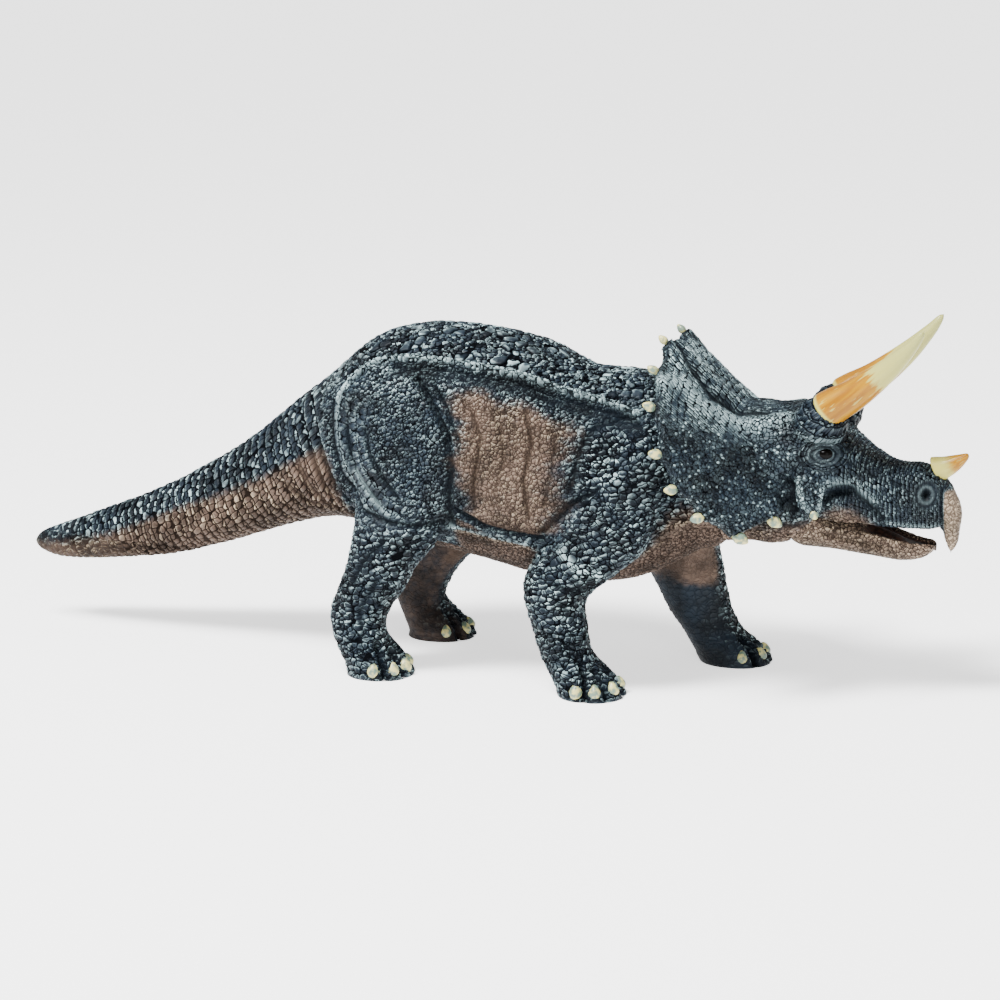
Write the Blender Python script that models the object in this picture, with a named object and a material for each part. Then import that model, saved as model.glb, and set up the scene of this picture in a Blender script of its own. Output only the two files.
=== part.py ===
"""A solid moulded toy dinosaur: a walking three-horned plant eater with a studded neck frill.

The body is soft cast plastic in several mouldings that plug into one another. The legs
and the tail are cemented in. The head turns on a mushroom pin in the neck, and the lower
jaw swings on a small pin between the cheeks. +X is forward, +Z is up, and the soles stand
on z = 0.
"""
import math

import bmesh
import bpy
from mathutils import Matrix, Vector

for old in list(bpy.data.objects):
    bpy.data.objects.remove(old)

# Driving sizes of the figure, in metres
TRUNK_LENGTH = 0.1662
BACK_HEIGHT = 0.0767
BODY_WIDTH = 0.048
HEAD_LENGTH = 0.050
HEAD_HEIGHT = 0.030
HEAD_WIDTH = 0.027
FRILL_RADIUS = 0.0305
FRILL_THICKNESS = 0.0032
HIND_LEG_LENGTH = 0.0258
HIND_LEG_WIDTH = 0.0164
FORE_LEG_LENGTH = 0.0206
FORE_LEG_WIDTH = 0.0148
JAW_LENGTH = 0.0355
JAW_WIDTH = 0.0176
JAW_DEPTH = 0.0114
BROW_HORN_LENGTH = 0.0275
BROW_HORN_DIAMETER = 0.0076
NOSE_HORN_LENGTH = 0.0077
NOSE_HORN_DIAMETER = 0.0054
STUD_LENGTH = 0.0054
STUD_DIAMETER = 0.0041
NAIL_WIDTH = 0.0037
NAIL_HEIGHT = 0.0038
NAIL_DEPTH = 0.0034

# Fits, plugs and pins, in metres
CLEARANCE = 0.0003
NECK_GAP = 0.0004
NECK_ROOM_LENGTH = 0.009
LEG_SEAT = 0.009
LEG_PEG_DIAMETER = 0.008
LEG_PEG_LENGTH = 0.005
TAIL_PEG_DIAMETER = 0.012
TAIL_PEG_LENGTH = 0.007
NECK_PIN_DIAMETER = 0.009
NECK_PIN_CAP_DIAMETER = 0.013
NECK_PIN_CAP_LENGTH = 0.003
NECK_PIN_IN_BODY = 0.010
NECK_PIN_IN_HEAD = 0.009
JAW_PIN_DIAMETER = 0.0024
JAW_PIN_LENGTH = 0.0204
BROW_PEG_DIAMETER = 0.004
BROW_PEG_LENGTH = 0.0035
NOSE_PEG_DIAMETER = 0.0022
NOSE_PEG_LENGTH = 0.0022
OVERRUN = 0.002

# The jaw's travel, and the lean of the horns, in degrees
JAW_CLOSING = -5.0
JAW_OPENING = 8.0
BROW_HORN_LEAN = 41.5
BROW_HORN_SPREAD = 5.0
NOSE_HORN_LEAN = 28.0
FRILL_SWEEP = 110.0

# How the pieces share those sizes. The body's rows run from the tail's tip to the neck's
# face: place along the trunk, side shift, height of the widest line, half width, and the
# half heights above and below that line.
BODY_SHARES = (
    (0.000, 0.0, 0.260, 0.000, 0.000, 0.000),
    (0.012, 0.0, 0.261, 0.040, 0.029, 0.024),
    (0.043, 0.0, 0.267, 0.079, 0.053, 0.048),
    (0.103, 0.0, 0.293, 0.113, 0.077, 0.069),
    (0.164, 0.0, 0.326, 0.142, 0.098, 0.085),
    (0.224, 0.0, 0.365, 0.171, 0.120, 0.102),
    (0.284, 0.0, 0.411, 0.202, 0.146, 0.112),
    (0.344, 0.0, 0.463, 0.233, 0.179, 0.120),
    (0.404, 0.0, 0.528, 0.281, 0.221, 0.140),
    (0.465, 0.0, 0.600, 0.354, 0.253, 0.180),
    (0.522, 0.0, 0.645, 0.427, 0.309, 0.234),
    (0.579, 0.0, 0.658, 0.462, 0.335, 0.284),
    (0.633, 0.0, 0.652, 0.481, 0.347, 0.298),
    (0.693, 0.0, 0.645, 0.496, 0.341, 0.315),
    (0.753, 0.0, 0.632, 0.500, 0.326, 0.329),
    (0.807, 0.0, 0.619, 0.469, 0.284, 0.328),
    (0.868, 0.0, 0.613, 0.417, 0.283, 0.313),
    (0.916, 0.0, 0.619, 0.354, 0.263, 0.280),
    (0.964, 0.0, 0.626, 0.296, 0.224, 0.226),
    (1.000, 0.0, 0.626, 0.271, 0.189, 0.189),
    (1.040, 0.0, 0.626, 0.000, 0.000, 0.000),
)
TAIL_JOINT_SHARE = 0.434
NECK_HEIGHT_SHARE = 0.626

# A leg's rows run down from its top: height, side place, place forward of the leg's seat,
# half width, and the half lengths in front and behind.
RIGHT_HIND_SHARES = (
    (0.887, 0.271, -0.035, 0.000, 0.000, 0.000),
    (0.847, 0.275, -0.035, 0.244, 0.310, 0.310),
    (0.782, 0.292, -0.031, 0.402, 0.442, 0.442),
    (0.652, 0.317, -0.005, 0.500, 0.500, 0.500),
    (0.522, 0.333, 0.005, 0.488, 0.434, 0.434),
    (0.417, 0.344, -0.026, 0.439, 0.372, 0.372),
    (0.326, 0.352, -0.070, 0.390, 0.291, 0.300),
    (0.261, 0.354, -0.098, 0.366, 0.275, 0.289),
    (0.196, 0.354, -0.130, 0.354, 0.237, 0.264),
    (0.130, 0.354, -0.127, 0.360, 0.202, 0.250),
    (0.078, 0.354, -0.097, 0.410, 0.246, 0.275),
    (0.033, 0.354, -0.074, 0.440, 0.274, 0.275),
    (0.000, 0.354, -0.074, 0.420, 0.274, 0.260),
    (-0.040, 0.354, -0.074, 0.000, 0.000, 0.000),
)
LEFT_HIND_SHARES = (
    (0.887, 0.271, -0.035, 0.000, 0.000, 0.000),
    (0.847, 0.275, -0.035, 0.244, 0.310, 0.310),
    (0.782, 0.292, -0.031, 0.402, 0.442, 0.442),
    (0.652, 0.317, -0.005, 0.500, 0.500, 0.500),
    (0.522, 0.333, 0.012, 0.488, 0.434, 0.434),
    (0.417, 0.344, 0.008, 0.439, 0.425, 0.372),
    (0.326, 0.350, -0.013, 0.390, 0.372, 0.310),
    (0.261, 0.350, -0.061, 0.366, 0.290, 0.270),
    (0.196, 0.348, -0.099, 0.354, 0.258, 0.245),
    (0.130, 0.346, -0.111, 0.360, 0.226, 0.200),
    (0.078, 0.346, -0.078, 0.410, 0.286, 0.236),
    (0.033, 0.346, -0.051, 0.440, 0.316, 0.262),
    (0.000, 0.346, -0.048, 0.420, 0.300, 0.266),
    (-0.040, 0.346, -0.048, 0.000, 0.000, 0.000),
)
RIGHT_FORE_SHARES = (
    (0.834, 0.271, 0.056, 0.000, 0.000, 0.000),
    (0.795, 0.281, 0.050, 0.203, 0.194, 0.194),
    (0.730, 0.302, 0.043, 0.338, 0.316, 0.316),
    (0.626, 0.323, 0.014, 0.439, 0.437, 0.437),
    (0.522, 0.333, -0.035, 0.473, 0.485, 0.485),
    (0.430, 0.354, -0.078, 0.473, 0.520, 0.500),
    (0.352, 0.371, -0.142, 0.446, 0.432, 0.470),
    (0.287, 0.379, -0.176, 0.419, 0.300, 0.350),
    (0.209, 0.381, -0.167, 0.392, 0.280, 0.300),
    (0.130, 0.379, -0.145, 0.405, 0.252, 0.290),
    (0.078, 0.375, -0.108, 0.450, 0.312, 0.335),
    (0.039, 0.373, -0.085, 0.490, 0.352, 0.340),
    (0.000, 0.371, -0.077, 0.473, 0.335, 0.310),
    (-0.040, 0.371, -0.077, 0.000, 0.000, 0.000),
)
LEFT_FORE_SHARES = (
    (0.834, 0.271, 0.056, 0.000, 0.000, 0.000),
    (0.795, 0.281, 0.050, 0.203, 0.194, 0.194),
    (0.730, 0.302, 0.043, 0.338, 0.316, 0.316),
    (0.626, 0.323, 0.023, 0.439, 0.437, 0.437),
    (0.522, 0.333, 0.017, 0.473, 0.476, 0.476),
    (0.430, 0.346, 0.023, 0.473, 0.476, 0.476),
    (0.352, 0.358, 0.043, 0.446, 0.455, 0.445),
    (0.287, 0.365, 0.065, 0.426, 0.423, 0.420),
    (0.222, 0.367, 0.090, 0.405, 0.376, 0.385),
    (0.156, 0.367, 0.118, 0.405, 0.338, 0.350),
    (0.104, 0.365, 0.156, 0.432, 0.320, 0.340),
    (0.052, 0.365, 0.203, 0.493, 0.388, 0.388),
    (0.000, 0.365, 0.228, 0.473, 0.350, 0.350),
    (-0.040, 0.365, 0.228, 0.000, 0.000, 0.000),
)
HIP_SHARE = 0.591
SHOULDER_SHARE = 0.885
HIP_HEIGHT_SHARE = 0.640
SHOULDER_HEIGHT_SHARE = 0.590
# The legs' rows run on a little below the flat soles
SOLE_SHARE = 0.017

# The nails stand round the foot at these turns from straight ahead, outward, in degrees
RIGHT_FORE_NAILS = (98.0, 62.0, 22.0, -22.0)
LEFT_FORE_NAILS = (62.0, 22.0, -17.0, -60.0)
RIGHT_HIND_NAILS = (80.0, 40.0, 4.0, -34.0)
LEFT_HIND_NAILS = (66.0, 26.0, -14.0, -58.0)
NAIL_RISE_SHARE = 0.54
NAIL_REACH_SHARE = 0.86

# The skull's rows run forward from the neck's face, like the body's
SKULL_SHARES = (
    (-0.080, 0.0, 0.000, 0.000, 0.000, 0.000),
    (-0.050, 0.0, 0.000, 0.420, 0.440, 0.440),
    (0.000, 0.0, 0.000, 0.467, 0.483, 0.477),
    (0.112, 0.0, 0.017, 0.481, 0.507, 0.477),
    (0.232, 0.0, 0.033, 0.500, 0.480, 0.500),
    (0.332, 0.0, 0.050, 0.500, 0.472, 0.460),
    (0.412, 0.0, 0.050, 0.481, 0.432, 0.350),
    (0.512, 0.0, 0.017, 0.437, 0.337, 0.312),
    (0.612, 0.0, -0.017, 0.363, 0.242, 0.284),
    (0.712, 0.0, -0.040, 0.289, 0.188, 0.280),
    (0.832, 0.0, -0.040, 0.215, 0.186, 0.274),
    (0.900, 0.0, -0.050, 0.170, 0.140, 0.240),
    (0.950, 0.0, -0.100, 0.104, 0.060, 0.150),
    (0.975, 0.0, -0.120, 0.000, 0.000, 0.000),
)
# The hooked beak's rows run down from the snout: height from the neck's axis, side shift,
# place forward, half width, and the half lengths in front and behind.
BEAK_SHARES = (
    (0.110, 0.0, 0.860, 0.000, 0.000, 0.000),
    (0.060, 0.0, 0.862, 0.120, 0.058, 0.066),
    (-0.060, 0.0, 0.890, 0.148, 0.080, 0.080),
    (-0.180, 0.0, 0.930, 0.130, 0.064, 0.058),
    (-0.300, 0.0, 0.950, 0.096, 0.038, 0.038),
    (-0.400, 0.0, 0.956, 0.060, 0.024, 0.024),
    (-0.482, 0.0, 0.952, 0.000, 0.000, 0.000),
)
# The frill's rows run from the top of the head down to its lower front edge: turn, then the
# place forward and the radius of its root, then those of its rim.
FRILL_SHARES = (
    (0.00, 0.086, 0.385, -0.232, 0.885),
    (0.13, 0.104, 0.405, -0.250, 0.955),
    (0.29, 0.130, 0.396, -0.250, 0.895),
    (0.47, 0.176, 0.388, -0.224, 0.895),
    (0.66, 0.226, 0.376, -0.166, 0.920),
    (0.79, 0.270, 0.370, -0.094, 0.905),
    (0.90, 0.312, 0.364, 0.012, 0.875),
    (1.00, 0.352, 0.358, 0.130, 0.820),
)
# The studs along the frill's edge on each side: turn, place out and size
STUD_SHARES = (
    (0.13, 1.0, 0.60), (0.29, 1.0, 0.66), (0.47, 1.0, 0.72), (0.66, 1.0, 0.74),
    (0.79, 1.0, 0.74), (0.90, 1.0, 0.76), (1.00, 0.96, 0.90), (1.00, 0.45, 0.86),
)
STUD_OUT_SHARE = 0.16
# The cheek flap and the horn's boss, each from its root to its tip: place forward, place
# out and height from the neck's axis; then the radius at either end.
CHEEK_ROOT_SHARE = (0.360, 0.33, 0.020)
CHEEK_TIP_SHARE = (0.436, 0.600, -0.140)
CHEEK_RADIUS_SHARES = (0.200, 0.050)
BOSS_ROOT_SHARE = (0.370, 0.235, 0.270)
BOSS_TIP_SHARE = (0.446, 0.325, 0.520)
BOSS_RADIUS_SHARES = (0.190, 0.184)
BROW_HORN_SHARE = (0.444, 0.335, 0.528)
NOSE_HORN_SHARE = (0.878, 0.000, 0.110)
HORN_SHARES = (
    (0.00, 0.0, 0.000, 0.485, 0.485, 0.485),
    (0.08, 0.0, 0.000, 0.500, 0.500, 0.500),
    (0.30, 0.0, -0.034, 0.420, 0.420, 0.420),
    (0.60, 0.0, -0.042, 0.305, 0.305, 0.305),
    (0.85, 0.0, -0.020, 0.175, 0.175, 0.175),
    (0.97, 0.0, 0.004, 0.085, 0.085, 0.085),
    (1.00, 0.0, 0.010, 0.000, 0.000, 0.000),
)
HORN_SINK_SHARE = 0.10

# The jaw's rows run forward from behind its hinge, like the body's
JAW_SHARES = (
    (-0.190, 0.0, -0.120, 0.000, 0.000, 0.000),
    (-0.150, 0.0, -0.120, 0.330, 0.240, 0.420),
    (-0.070, 0.0, -0.140, 0.480, 0.370, 0.600),
    (0.030, 0.0, -0.180, 0.500, 0.420, 0.580),
    (0.140, 0.0, -0.270, 0.495, 0.310, 0.500),
    (0.280, 0.0, -0.400, 0.440, 0.240, 0.415),
    (0.420, 0.0, -0.510, 0.370, 0.210, 0.355),
    (0.535, 0.0, -0.590, 0.300, 0.175, 0.315),
    (0.650, 0.0, -0.610, 0.220, 0.130, 0.235),
    (0.714, 0.0, -0.600, 0.140, 0.080, 0.110),
    (0.738, 0.0, -0.580, 0.000, 0.000, 0.000),
)
JAW_HINGE_SHARE = (0.372, 0.000, -0.200)

# A lump is nearly full width at its root's middle, widest a little way out, and round at its tip
LUMP_ROOT_SHARE = 0.85
LUMP_WIDEST_SHARE = 0.20
LUMP_TIP_SHARE = 0.80
# A short step along the frill's sheet, to aim its studs
AIM_STEP = 0.02
# Points closer than this share of a clearance are one point
SAME_POINT_SHARE = 0.03

# How round the sections are: 2 is an ellipse, and more is squarer
BODY_SQUARENESS = 2.15
LEG_SQUARENESS = 2.2
SKULL_SQUARENESS = 2.8
HORN_SQUARENESS = 2.0

# Facets, and how far a ball's rings crowd toward its ends
BODY_FACETS = (36, 20)
LEG_FACETS = (18, 12)
SKULL_FACETS = (18, 16)
JAW_FACETS = (12, 12)
SMALL_FACETS = (8, 8)
HORN_FACETS = (9, 10)
STUD_FACETS = (4, 6)
FRILL_FACETS = (24, 3)
PIN_FACETS = 16
CROWDING_SHARE = 0.55

# Where the trunk and the head stand
NOSE_HORN_REACH = NOSE_HORN_SHARE[0] * HEAD_LENGTH + (1.0 - HORN_SINK_SHARE) * (
    NOSE_HORN_LENGTH * math.cos(math.radians(NOSE_HORN_LEAN))
)
TAIL_TIP_X = -(TRUNK_LENGTH + NECK_GAP + NOSE_HORN_REACH) / 2.0
SOLE_RISE = SOLE_SHARE * BACK_HEIGHT
NECK_FACE = Vector((TAIL_TIP_X + TRUNK_LENGTH, 0.0, NECK_HEIGHT_SHARE * BACK_HEIGHT - SOLE_RISE))

FORWARD = Vector((1.0, 0.0, 0.0))
LEFT = Vector((0.0, 1.0, 0.0))
UP = Vector((0.0, 0.0, 1.0))


def srgb(hex_colour):
    """A hex colour as the linear values that a shader takes."""
    channels = [int(hex_colour[i:i + 2], 16) / 255.0 for i in (1, 3, 5)]
    linear = [c / 12.92 if c <= 0.04045 else ((c + 0.055) / 1.055) ** 2.4 for c in channels]
    return (*linear, 1.0)


def moulded_plastic(name, hex_colour, roughness):
    """A plain moulded or painted plastic."""
    material = bpy.data.materials.new(name)
    material.use_nodes = True
    shader = material.node_tree.nodes["Principled BSDF"]
    shader.inputs["Base Color"].default_value = srgb(hex_colour)
    shader.inputs["Roughness"].default_value = roughness
    shader.inputs["Metallic"].default_value = 0.0
    material.diffuse_color = srgb(hex_colour)
    return material


def row_at(rows, place):
    """The values at a place down a table, on a smooth curve through its rows."""
    last = len(rows) - 1
    k = 0
    while k < last - 1 and place > rows[k + 1][0]:
        k += 1
    span = rows[k + 1][0] - rows[k][0]
    t = (place - rows[k][0]) / span
    values = []
    for column in range(1, len(rows[0])):
        slopes = []
        for i in (k, k + 1):
            before = rows[max(i - 1, 0)]
            after = rows[min(i + 1, last)]
            slopes.append((after[column] - before[column]) / (after[0] - before[0]) * span)
        start, end = rows[k][column], rows[k + 1][column]
        values.append(
            start * (2 * t ** 3 - 3 * t ** 2 + 1)
            + slopes[0] * (t ** 3 - 2 * t ** 2 + t)
            + end * (3 * t ** 2 - 2 * t ** 3)
            + slopes[1] * (t ** 3 - t ** 2)
        )
    return values


def sized(share_rows, sizes):
    """A table of shares, each column times its own size."""
    return [tuple(share * size for share, size in zip(row, sizes)) for row in share_rows]


def ordered(rows):
    """Rows in rising order of place, as a smooth curve needs them."""
    return sorted(rows)


def pulled_ball(rows, along, side, up, facets, squareness, grow=0.0):
    """A ball pulled out along a line of sections, and grown along its normals."""
    rings, segments = facets
    rows = ordered(rows)
    first, last = rows[0][0], rows[-1][0]
    bm = bmesh.new()
    bmesh.ops.create_uvsphere(bm, u_segments=segments, v_segments=rings, radius=1.0)
    for vertex in bm.verts:
        lean = math.acos(max(-1.0, min(1.0, vertex.co.z)))
        share = lean / math.pi - CROWDING_SHARE * math.sin(2.0 * lean) / (2.0 * math.pi)
        place = first + (last - first) * share
        turn = math.atan2(vertex.co.y, vertex.co.x)
        shift, height, half_width, above, below = row_at(rows, place)
        across, rise = math.cos(turn), math.sin(turn)
        across = math.copysign(abs(across) ** (2.0 / squareness), across)
        rise = math.copysign(abs(rise) ** (2.0 / squareness), rise)
        reach = above if rise > 0.0 else below
        vertex.co = (
            along * place
            + side * (shift + max(half_width, 0.0) * across)
            + up * (height + max(reach, 0.0) * rise)
        )
    bmesh.ops.remove_doubles(bm, verts=bm.verts, dist=SAME_POINT_SHARE * CLEARANCE)
    bmesh.ops.recalc_face_normals(bm, faces=bm.faces)
    bm.normal_update()
    if grow:
        for vertex in bm.verts:
            vertex.co = vertex.co + vertex.normal * grow
    return bm


def flat_cut(bm, point, outward):
    """Cut away what lies beyond a plane, and close the cut with a flat face."""
    geometry = bm.verts[:] + bm.edges[:] + bm.faces[:]
    bmesh.ops.bisect_plane(
        bm,
        geom=geometry,
        dist=SAME_POINT_SHARE * CLEARANCE,
        plane_co=point,
        plane_no=outward,
        clear_outer=True,
    )
    edges = [edge for edge in bm.edges if edge.is_boundary]
    bmesh.ops.edgeloop_fill(bm, edges=edges)
    bmesh.ops.recalc_face_normals(bm, faces=bm.faces)


def rod(centre, along, length, diameter, grow=0.0, end_diameter=None):
    """A straight round rod from a point along a direction, grown all round."""
    end_diameter = diameter if end_diameter is None else end_diameter
    bm = bmesh.new()
    along = along.normalized()
    middle = centre + along * (length / 2.0)
    turned = along.to_track_quat("Z", "Y").to_matrix().to_4x4()
    bmesh.ops.create_cone(
        bm,
        cap_ends=True,
        segments=PIN_FACETS,
        radius1=diameter / 2.0 + grow,
        radius2=end_diameter / 2.0 + grow,
        depth=length + 2.0 * grow,
        matrix=Matrix.Translation(middle) @ turned,
    )
    return bm


def merged(parts):
    """Several closed shapes in one mesh."""
    whole = bmesh.new()
    scratch = bpy.data.meshes.new("scratch")
    for part in parts:
        part.to_mesh(scratch)
        whole.from_mesh(scratch)
        part.free()
    bpy.data.meshes.remove(scratch)
    return whole


def piece(name, bm, parent, material=None, smooth_angle=35.0):
    """A named object made of a finished shape."""
    mesh = bpy.data.meshes.new(name)
    bm.to_mesh(mesh)
    bm.free()
    mesh.shade_smooth()
    mesh.set_sharp_from_angle(angle=math.radians(smooth_angle))
    made = bpy.data.objects.new(name, mesh)
    bpy.context.scene.collection.objects.link(made)
    made.parent = parent
    if material is None:
        made.hide_render = True
        made.display_type = "WIRE"
    else:
        mesh.materials.append(material)
    return made


def combine(target, tool, operation):
    """Join a tool to a piece, or cut it away."""
    modifier = target.modifiers.new(tool.name, "BOOLEAN")
    modifier.operation = operation
    modifier.object = tool
    modifier.solver = "EXACT"


def anchor(name, location, parent=None):
    """An empty that carries the pieces that move with it."""
    empty = bpy.data.objects.new(name, None)
    empty.empty_display_size = BODY_WIDTH
    empty.location = location
    empty.parent = parent
    bpy.context.scene.collection.objects.link(empty)
    return empty


# The body: torso and tail are one pulled form, parted at the tail's root
def body_form(grow=0.0):
    """The whole trunk from the tail's tip past the neck's face."""
    sizes = (TRUNK_LENGTH, BODY_WIDTH, BACK_HEIGHT, BODY_WIDTH, BACK_HEIGHT, BACK_HEIGHT)
    rows = sized(BODY_SHARES, sizes)
    return pulled_ball(rows, FORWARD, LEFT, UP, BODY_FACETS, BODY_SQUARENESS, grow)


def tail_joint():
    """The middle of the tail's root, where its plug starts."""
    height = row_at(BODY_SHARES, TAIL_JOINT_SHARE)[1]
    return Vector((TAIL_JOINT_SHARE * TRUNK_LENGTH, 0.0, height * BACK_HEIGHT))


def tail_peg(grow=0.0):
    """The tail's plug, forward into the torso."""
    start = tail_joint() - FORWARD * OVERRUN
    return rod(start, FORWARD, TAIL_PEG_LENGTH + OVERRUN, TAIL_PEG_DIAMETER, grow)


def torso(parent, material):
    """The torso, from the tail's root to the neck's face."""
    bm = body_form()
    flat_cut(bm, tail_joint(), -FORWARD)
    flat_cut(bm, FORWARD * TRUNK_LENGTH, FORWARD)
    return piece("torso", bm, parent, material)


def tail(parent, material):
    """The tail, with a round plug on its root face."""
    bm = body_form()
    flat_cut(bm, tail_joint() - FORWARD * CLEARANCE, FORWARD)
    made = piece("tail", bm, parent, material)
    combine(made, piece("tail_plug_shape", tail_peg(), parent), "UNION")
    return made


# The legs
class Leg:
    """One leg: its name, side, rows, seat and nails."""

    def __init__(self, name, side, rows, sizes, seat_shares, nails):
        self.name = name
        self.side = side
        self.rows = rows
        self.length, self.width = sizes
        self.seat_x = seat_shares[0] * TRUNK_LENGTH
        self.seat_z = seat_shares[1] * BACK_HEIGHT
        self.nails = nails

    def form(self, grow=0.0):
        """The limb without its nails, flat where it seats in the torso."""
        sizes = (BACK_HEIGHT, BODY_WIDTH, BACK_HEIGHT, self.width, self.length, self.length)
        rows = sized(self.rows, sizes)
        outward = LEFT * self.side
        bm = pulled_ball(rows, UP, outward, FORWARD, LEG_FACETS, LEG_SQUARENESS, grow)
        bmesh.ops.translate(bm, verts=bm.verts, vec=FORWARD * self.seat_x)
        bmesh.ops.recalc_face_normals(bm, faces=bm.faces)
        flat_cut(bm, outward * (LEG_SEAT - grow), -outward)
        return bm

    def peg(self, grow=0.0):
        """The plug on the limb's inner face."""
        outward = LEFT * self.side
        start = FORWARD * self.seat_x + UP * self.seat_z + outward * (LEG_SEAT + OVERRUN)
        return rod(start, -outward, LEG_PEG_LENGTH + OVERRUN, LEG_PEG_DIAMETER, grow)

    def nail_forms(self):
        """A low rounded nail at each toe."""
        rise = SOLE_RISE + NAIL_RISE_SHARE * NAIL_HEIGHT
        shift, forward, half_width, front, _ = row_at(ordered(self.rows), rise / BACK_HEIGHT)
        centre = (
            FORWARD * (self.seat_x + forward * BACK_HEIGHT)
            + LEFT * (self.side * shift * BODY_WIDTH)
            + UP * rise
        )
        forms = []
        for turn in self.nails:
            angle = math.radians(turn)
            reach = Vector((
                math.cos(angle) * front * self.length,
                math.sin(angle) * half_width * self.width * self.side,
                0.0,
            ))
            heading = math.atan2(reach.y, reach.x)
            stretch = Matrix.Diagonal((NAIL_DEPTH / 2.0, NAIL_WIDTH / 2.0, NAIL_HEIGHT / 2.0, 1.0))
            place = Matrix.Translation(centre + reach * NAIL_REACH_SHARE)
            nail = bmesh.new()
            bmesh.ops.create_uvsphere(
                nail,
                u_segments=SMALL_FACETS[1],
                v_segments=STUD_FACETS[1],
                radius=1.0,
                matrix=place @ Matrix.Rotation(heading, 4, "Z") @ stretch,
            )
            forms.append(nail)
        return merged(forms)

    def build(self, parent, material):
        """The finished leg: limb, nails and plug, with a flat sole."""
        bm = self.form()
        flat_cut(bm, UP * SOLE_RISE, -UP)
        made = piece(self.name, bm, parent, material)
        combine(made, piece(f"{self.name}_nail_shapes", self.nail_forms(), parent), "UNION")
        combine(made, piece(f"{self.name}_plug_shape", self.peg(), parent), "UNION")
        return made

    def seat_in(self, target, parent):
        """Cut the limb's seat and its plug's socket in the torso."""
        seat = piece(f"{self.name}_seat_cutter", self.form(CLEARANCE), parent)
        socket = piece(f"{self.name}_socket_cutter", self.peg(CLEARANCE), parent)
        combine(target, seat, "DIFFERENCE")
        combine(target, socket, "DIFFERENCE")


HIND = ((HIND_LEG_LENGTH, HIND_LEG_WIDTH), (HIP_SHARE, HIP_HEIGHT_SHARE))
FORE = ((FORE_LEG_LENGTH, FORE_LEG_WIDTH), (SHOULDER_SHARE, SHOULDER_HEIGHT_SHARE))
LEGS = (
    Leg("right_hind_leg", -1.0, RIGHT_HIND_SHARES, *HIND, RIGHT_HIND_NAILS),
    Leg("left_hind_leg", 1.0, LEFT_HIND_SHARES, *HIND, LEFT_HIND_NAILS),
    Leg("right_fore_leg", -1.0, RIGHT_FORE_SHARES, *FORE, RIGHT_FORE_NAILS),
    Leg("left_fore_leg", 1.0, LEFT_FORE_SHARES, *FORE, LEFT_FORE_NAILS),
)


# The neck's mushroom pin, on the axis that the head turns about
def neck_pin_forms(grow=0.0):
    """The pin's stem and its cap, from the torso into the head."""
    start = -FORWARD * NECK_PIN_IN_BODY
    stem_length = NECK_PIN_IN_BODY + NECK_PIN_IN_HEAD
    stem = rod(start, FORWARD, stem_length, NECK_PIN_DIAMETER, grow)
    cap_start = FORWARD * (NECK_PIN_IN_HEAD - NECK_PIN_CAP_LENGTH)
    cap = rod(cap_start, FORWARD, NECK_PIN_CAP_LENGTH, NECK_PIN_CAP_DIAMETER, grow)
    return stem, cap


def neck_pin(parent, material):
    """The pin that holds the head on and lets it turn."""
    stem, cap = neck_pin_forms()
    made = piece("neck_pin", stem, parent, material)
    combine(made, piece("neck_pin_cap_shape", cap, parent), "UNION")
    return made


# The head, in its own frame: the origin is where the pin's axis meets the neck's face
def head_point(shares):
    """A place in the head, from shares of its length, width and height."""
    return Vector((shares[0] * HEAD_LENGTH, shares[1] * HEAD_WIDTH, shares[2] * HEAD_HEIGHT))


def mirrored(point, side):
    """The same place on the right, side -1, or the left, side 1."""
    return Vector((point.x, point.y * side, point.z))


def neck_radius(behind):
    """The widest reach of the neck from the pin's axis, a distance behind its face."""
    _, _, half_width, above, below = row_at(BODY_SHARES, 1.0 - behind / TRUNK_LENGTH)
    return max(half_width * BODY_WIDTH, above * BACK_HEIGHT, below * BACK_HEIGHT)


def neck_room():
    """The round hollow under the frill that the neck keeps as the head turns."""
    start = FORWARD * NECK_GAP
    room = 2.0 * CLEARANCE
    widths = [2.0 * (neck_radius(behind) + room) for behind in (0.0, NECK_ROOM_LENGTH)]
    length = NECK_GAP + NECK_ROOM_LENGTH
    return rod(start, -FORWARD, length, widths[0], end_diameter=widths[1])


def skull_form():
    """The skull with its flat neck face."""
    sizes = (HEAD_LENGTH, HEAD_WIDTH, HEAD_HEIGHT, HEAD_WIDTH, HEAD_HEIGHT, HEAD_HEIGHT)
    rows = sized(SKULL_SHARES, sizes)
    bm = pulled_ball(rows, FORWARD, LEFT, UP, SKULL_FACETS, SKULL_SQUARENESS)
    flat_cut(bm, FORWARD * NECK_GAP, -FORWARD)
    return bm


def beak_form():
    """The hooked tip of the upper jaw."""
    sizes = (HEAD_HEIGHT, HEAD_WIDTH, HEAD_LENGTH, HEAD_WIDTH, HEAD_LENGTH, HEAD_LENGTH)
    rows = sized(BEAK_SHARES, sizes)
    return pulled_ball(rows, UP, LEFT, FORWARD, SMALL_FACETS, HORN_SQUARENESS)


def frill_point(turn_share, out_share):
    """A place on the middle of the frill's sheet."""
    root_x, root_r, rim_x, rim_r = row_at(FRILL_SHARES, abs(turn_share))
    forward = (root_x + (rim_x - root_x) * out_share) * HEAD_LENGTH
    radius = (root_r + (rim_r - root_r) * out_share) * FRILL_RADIUS
    angle = math.radians(turn_share * FRILL_SWEEP)
    return Vector((forward, radius * math.sin(angle), radius * math.cos(angle)))


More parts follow.
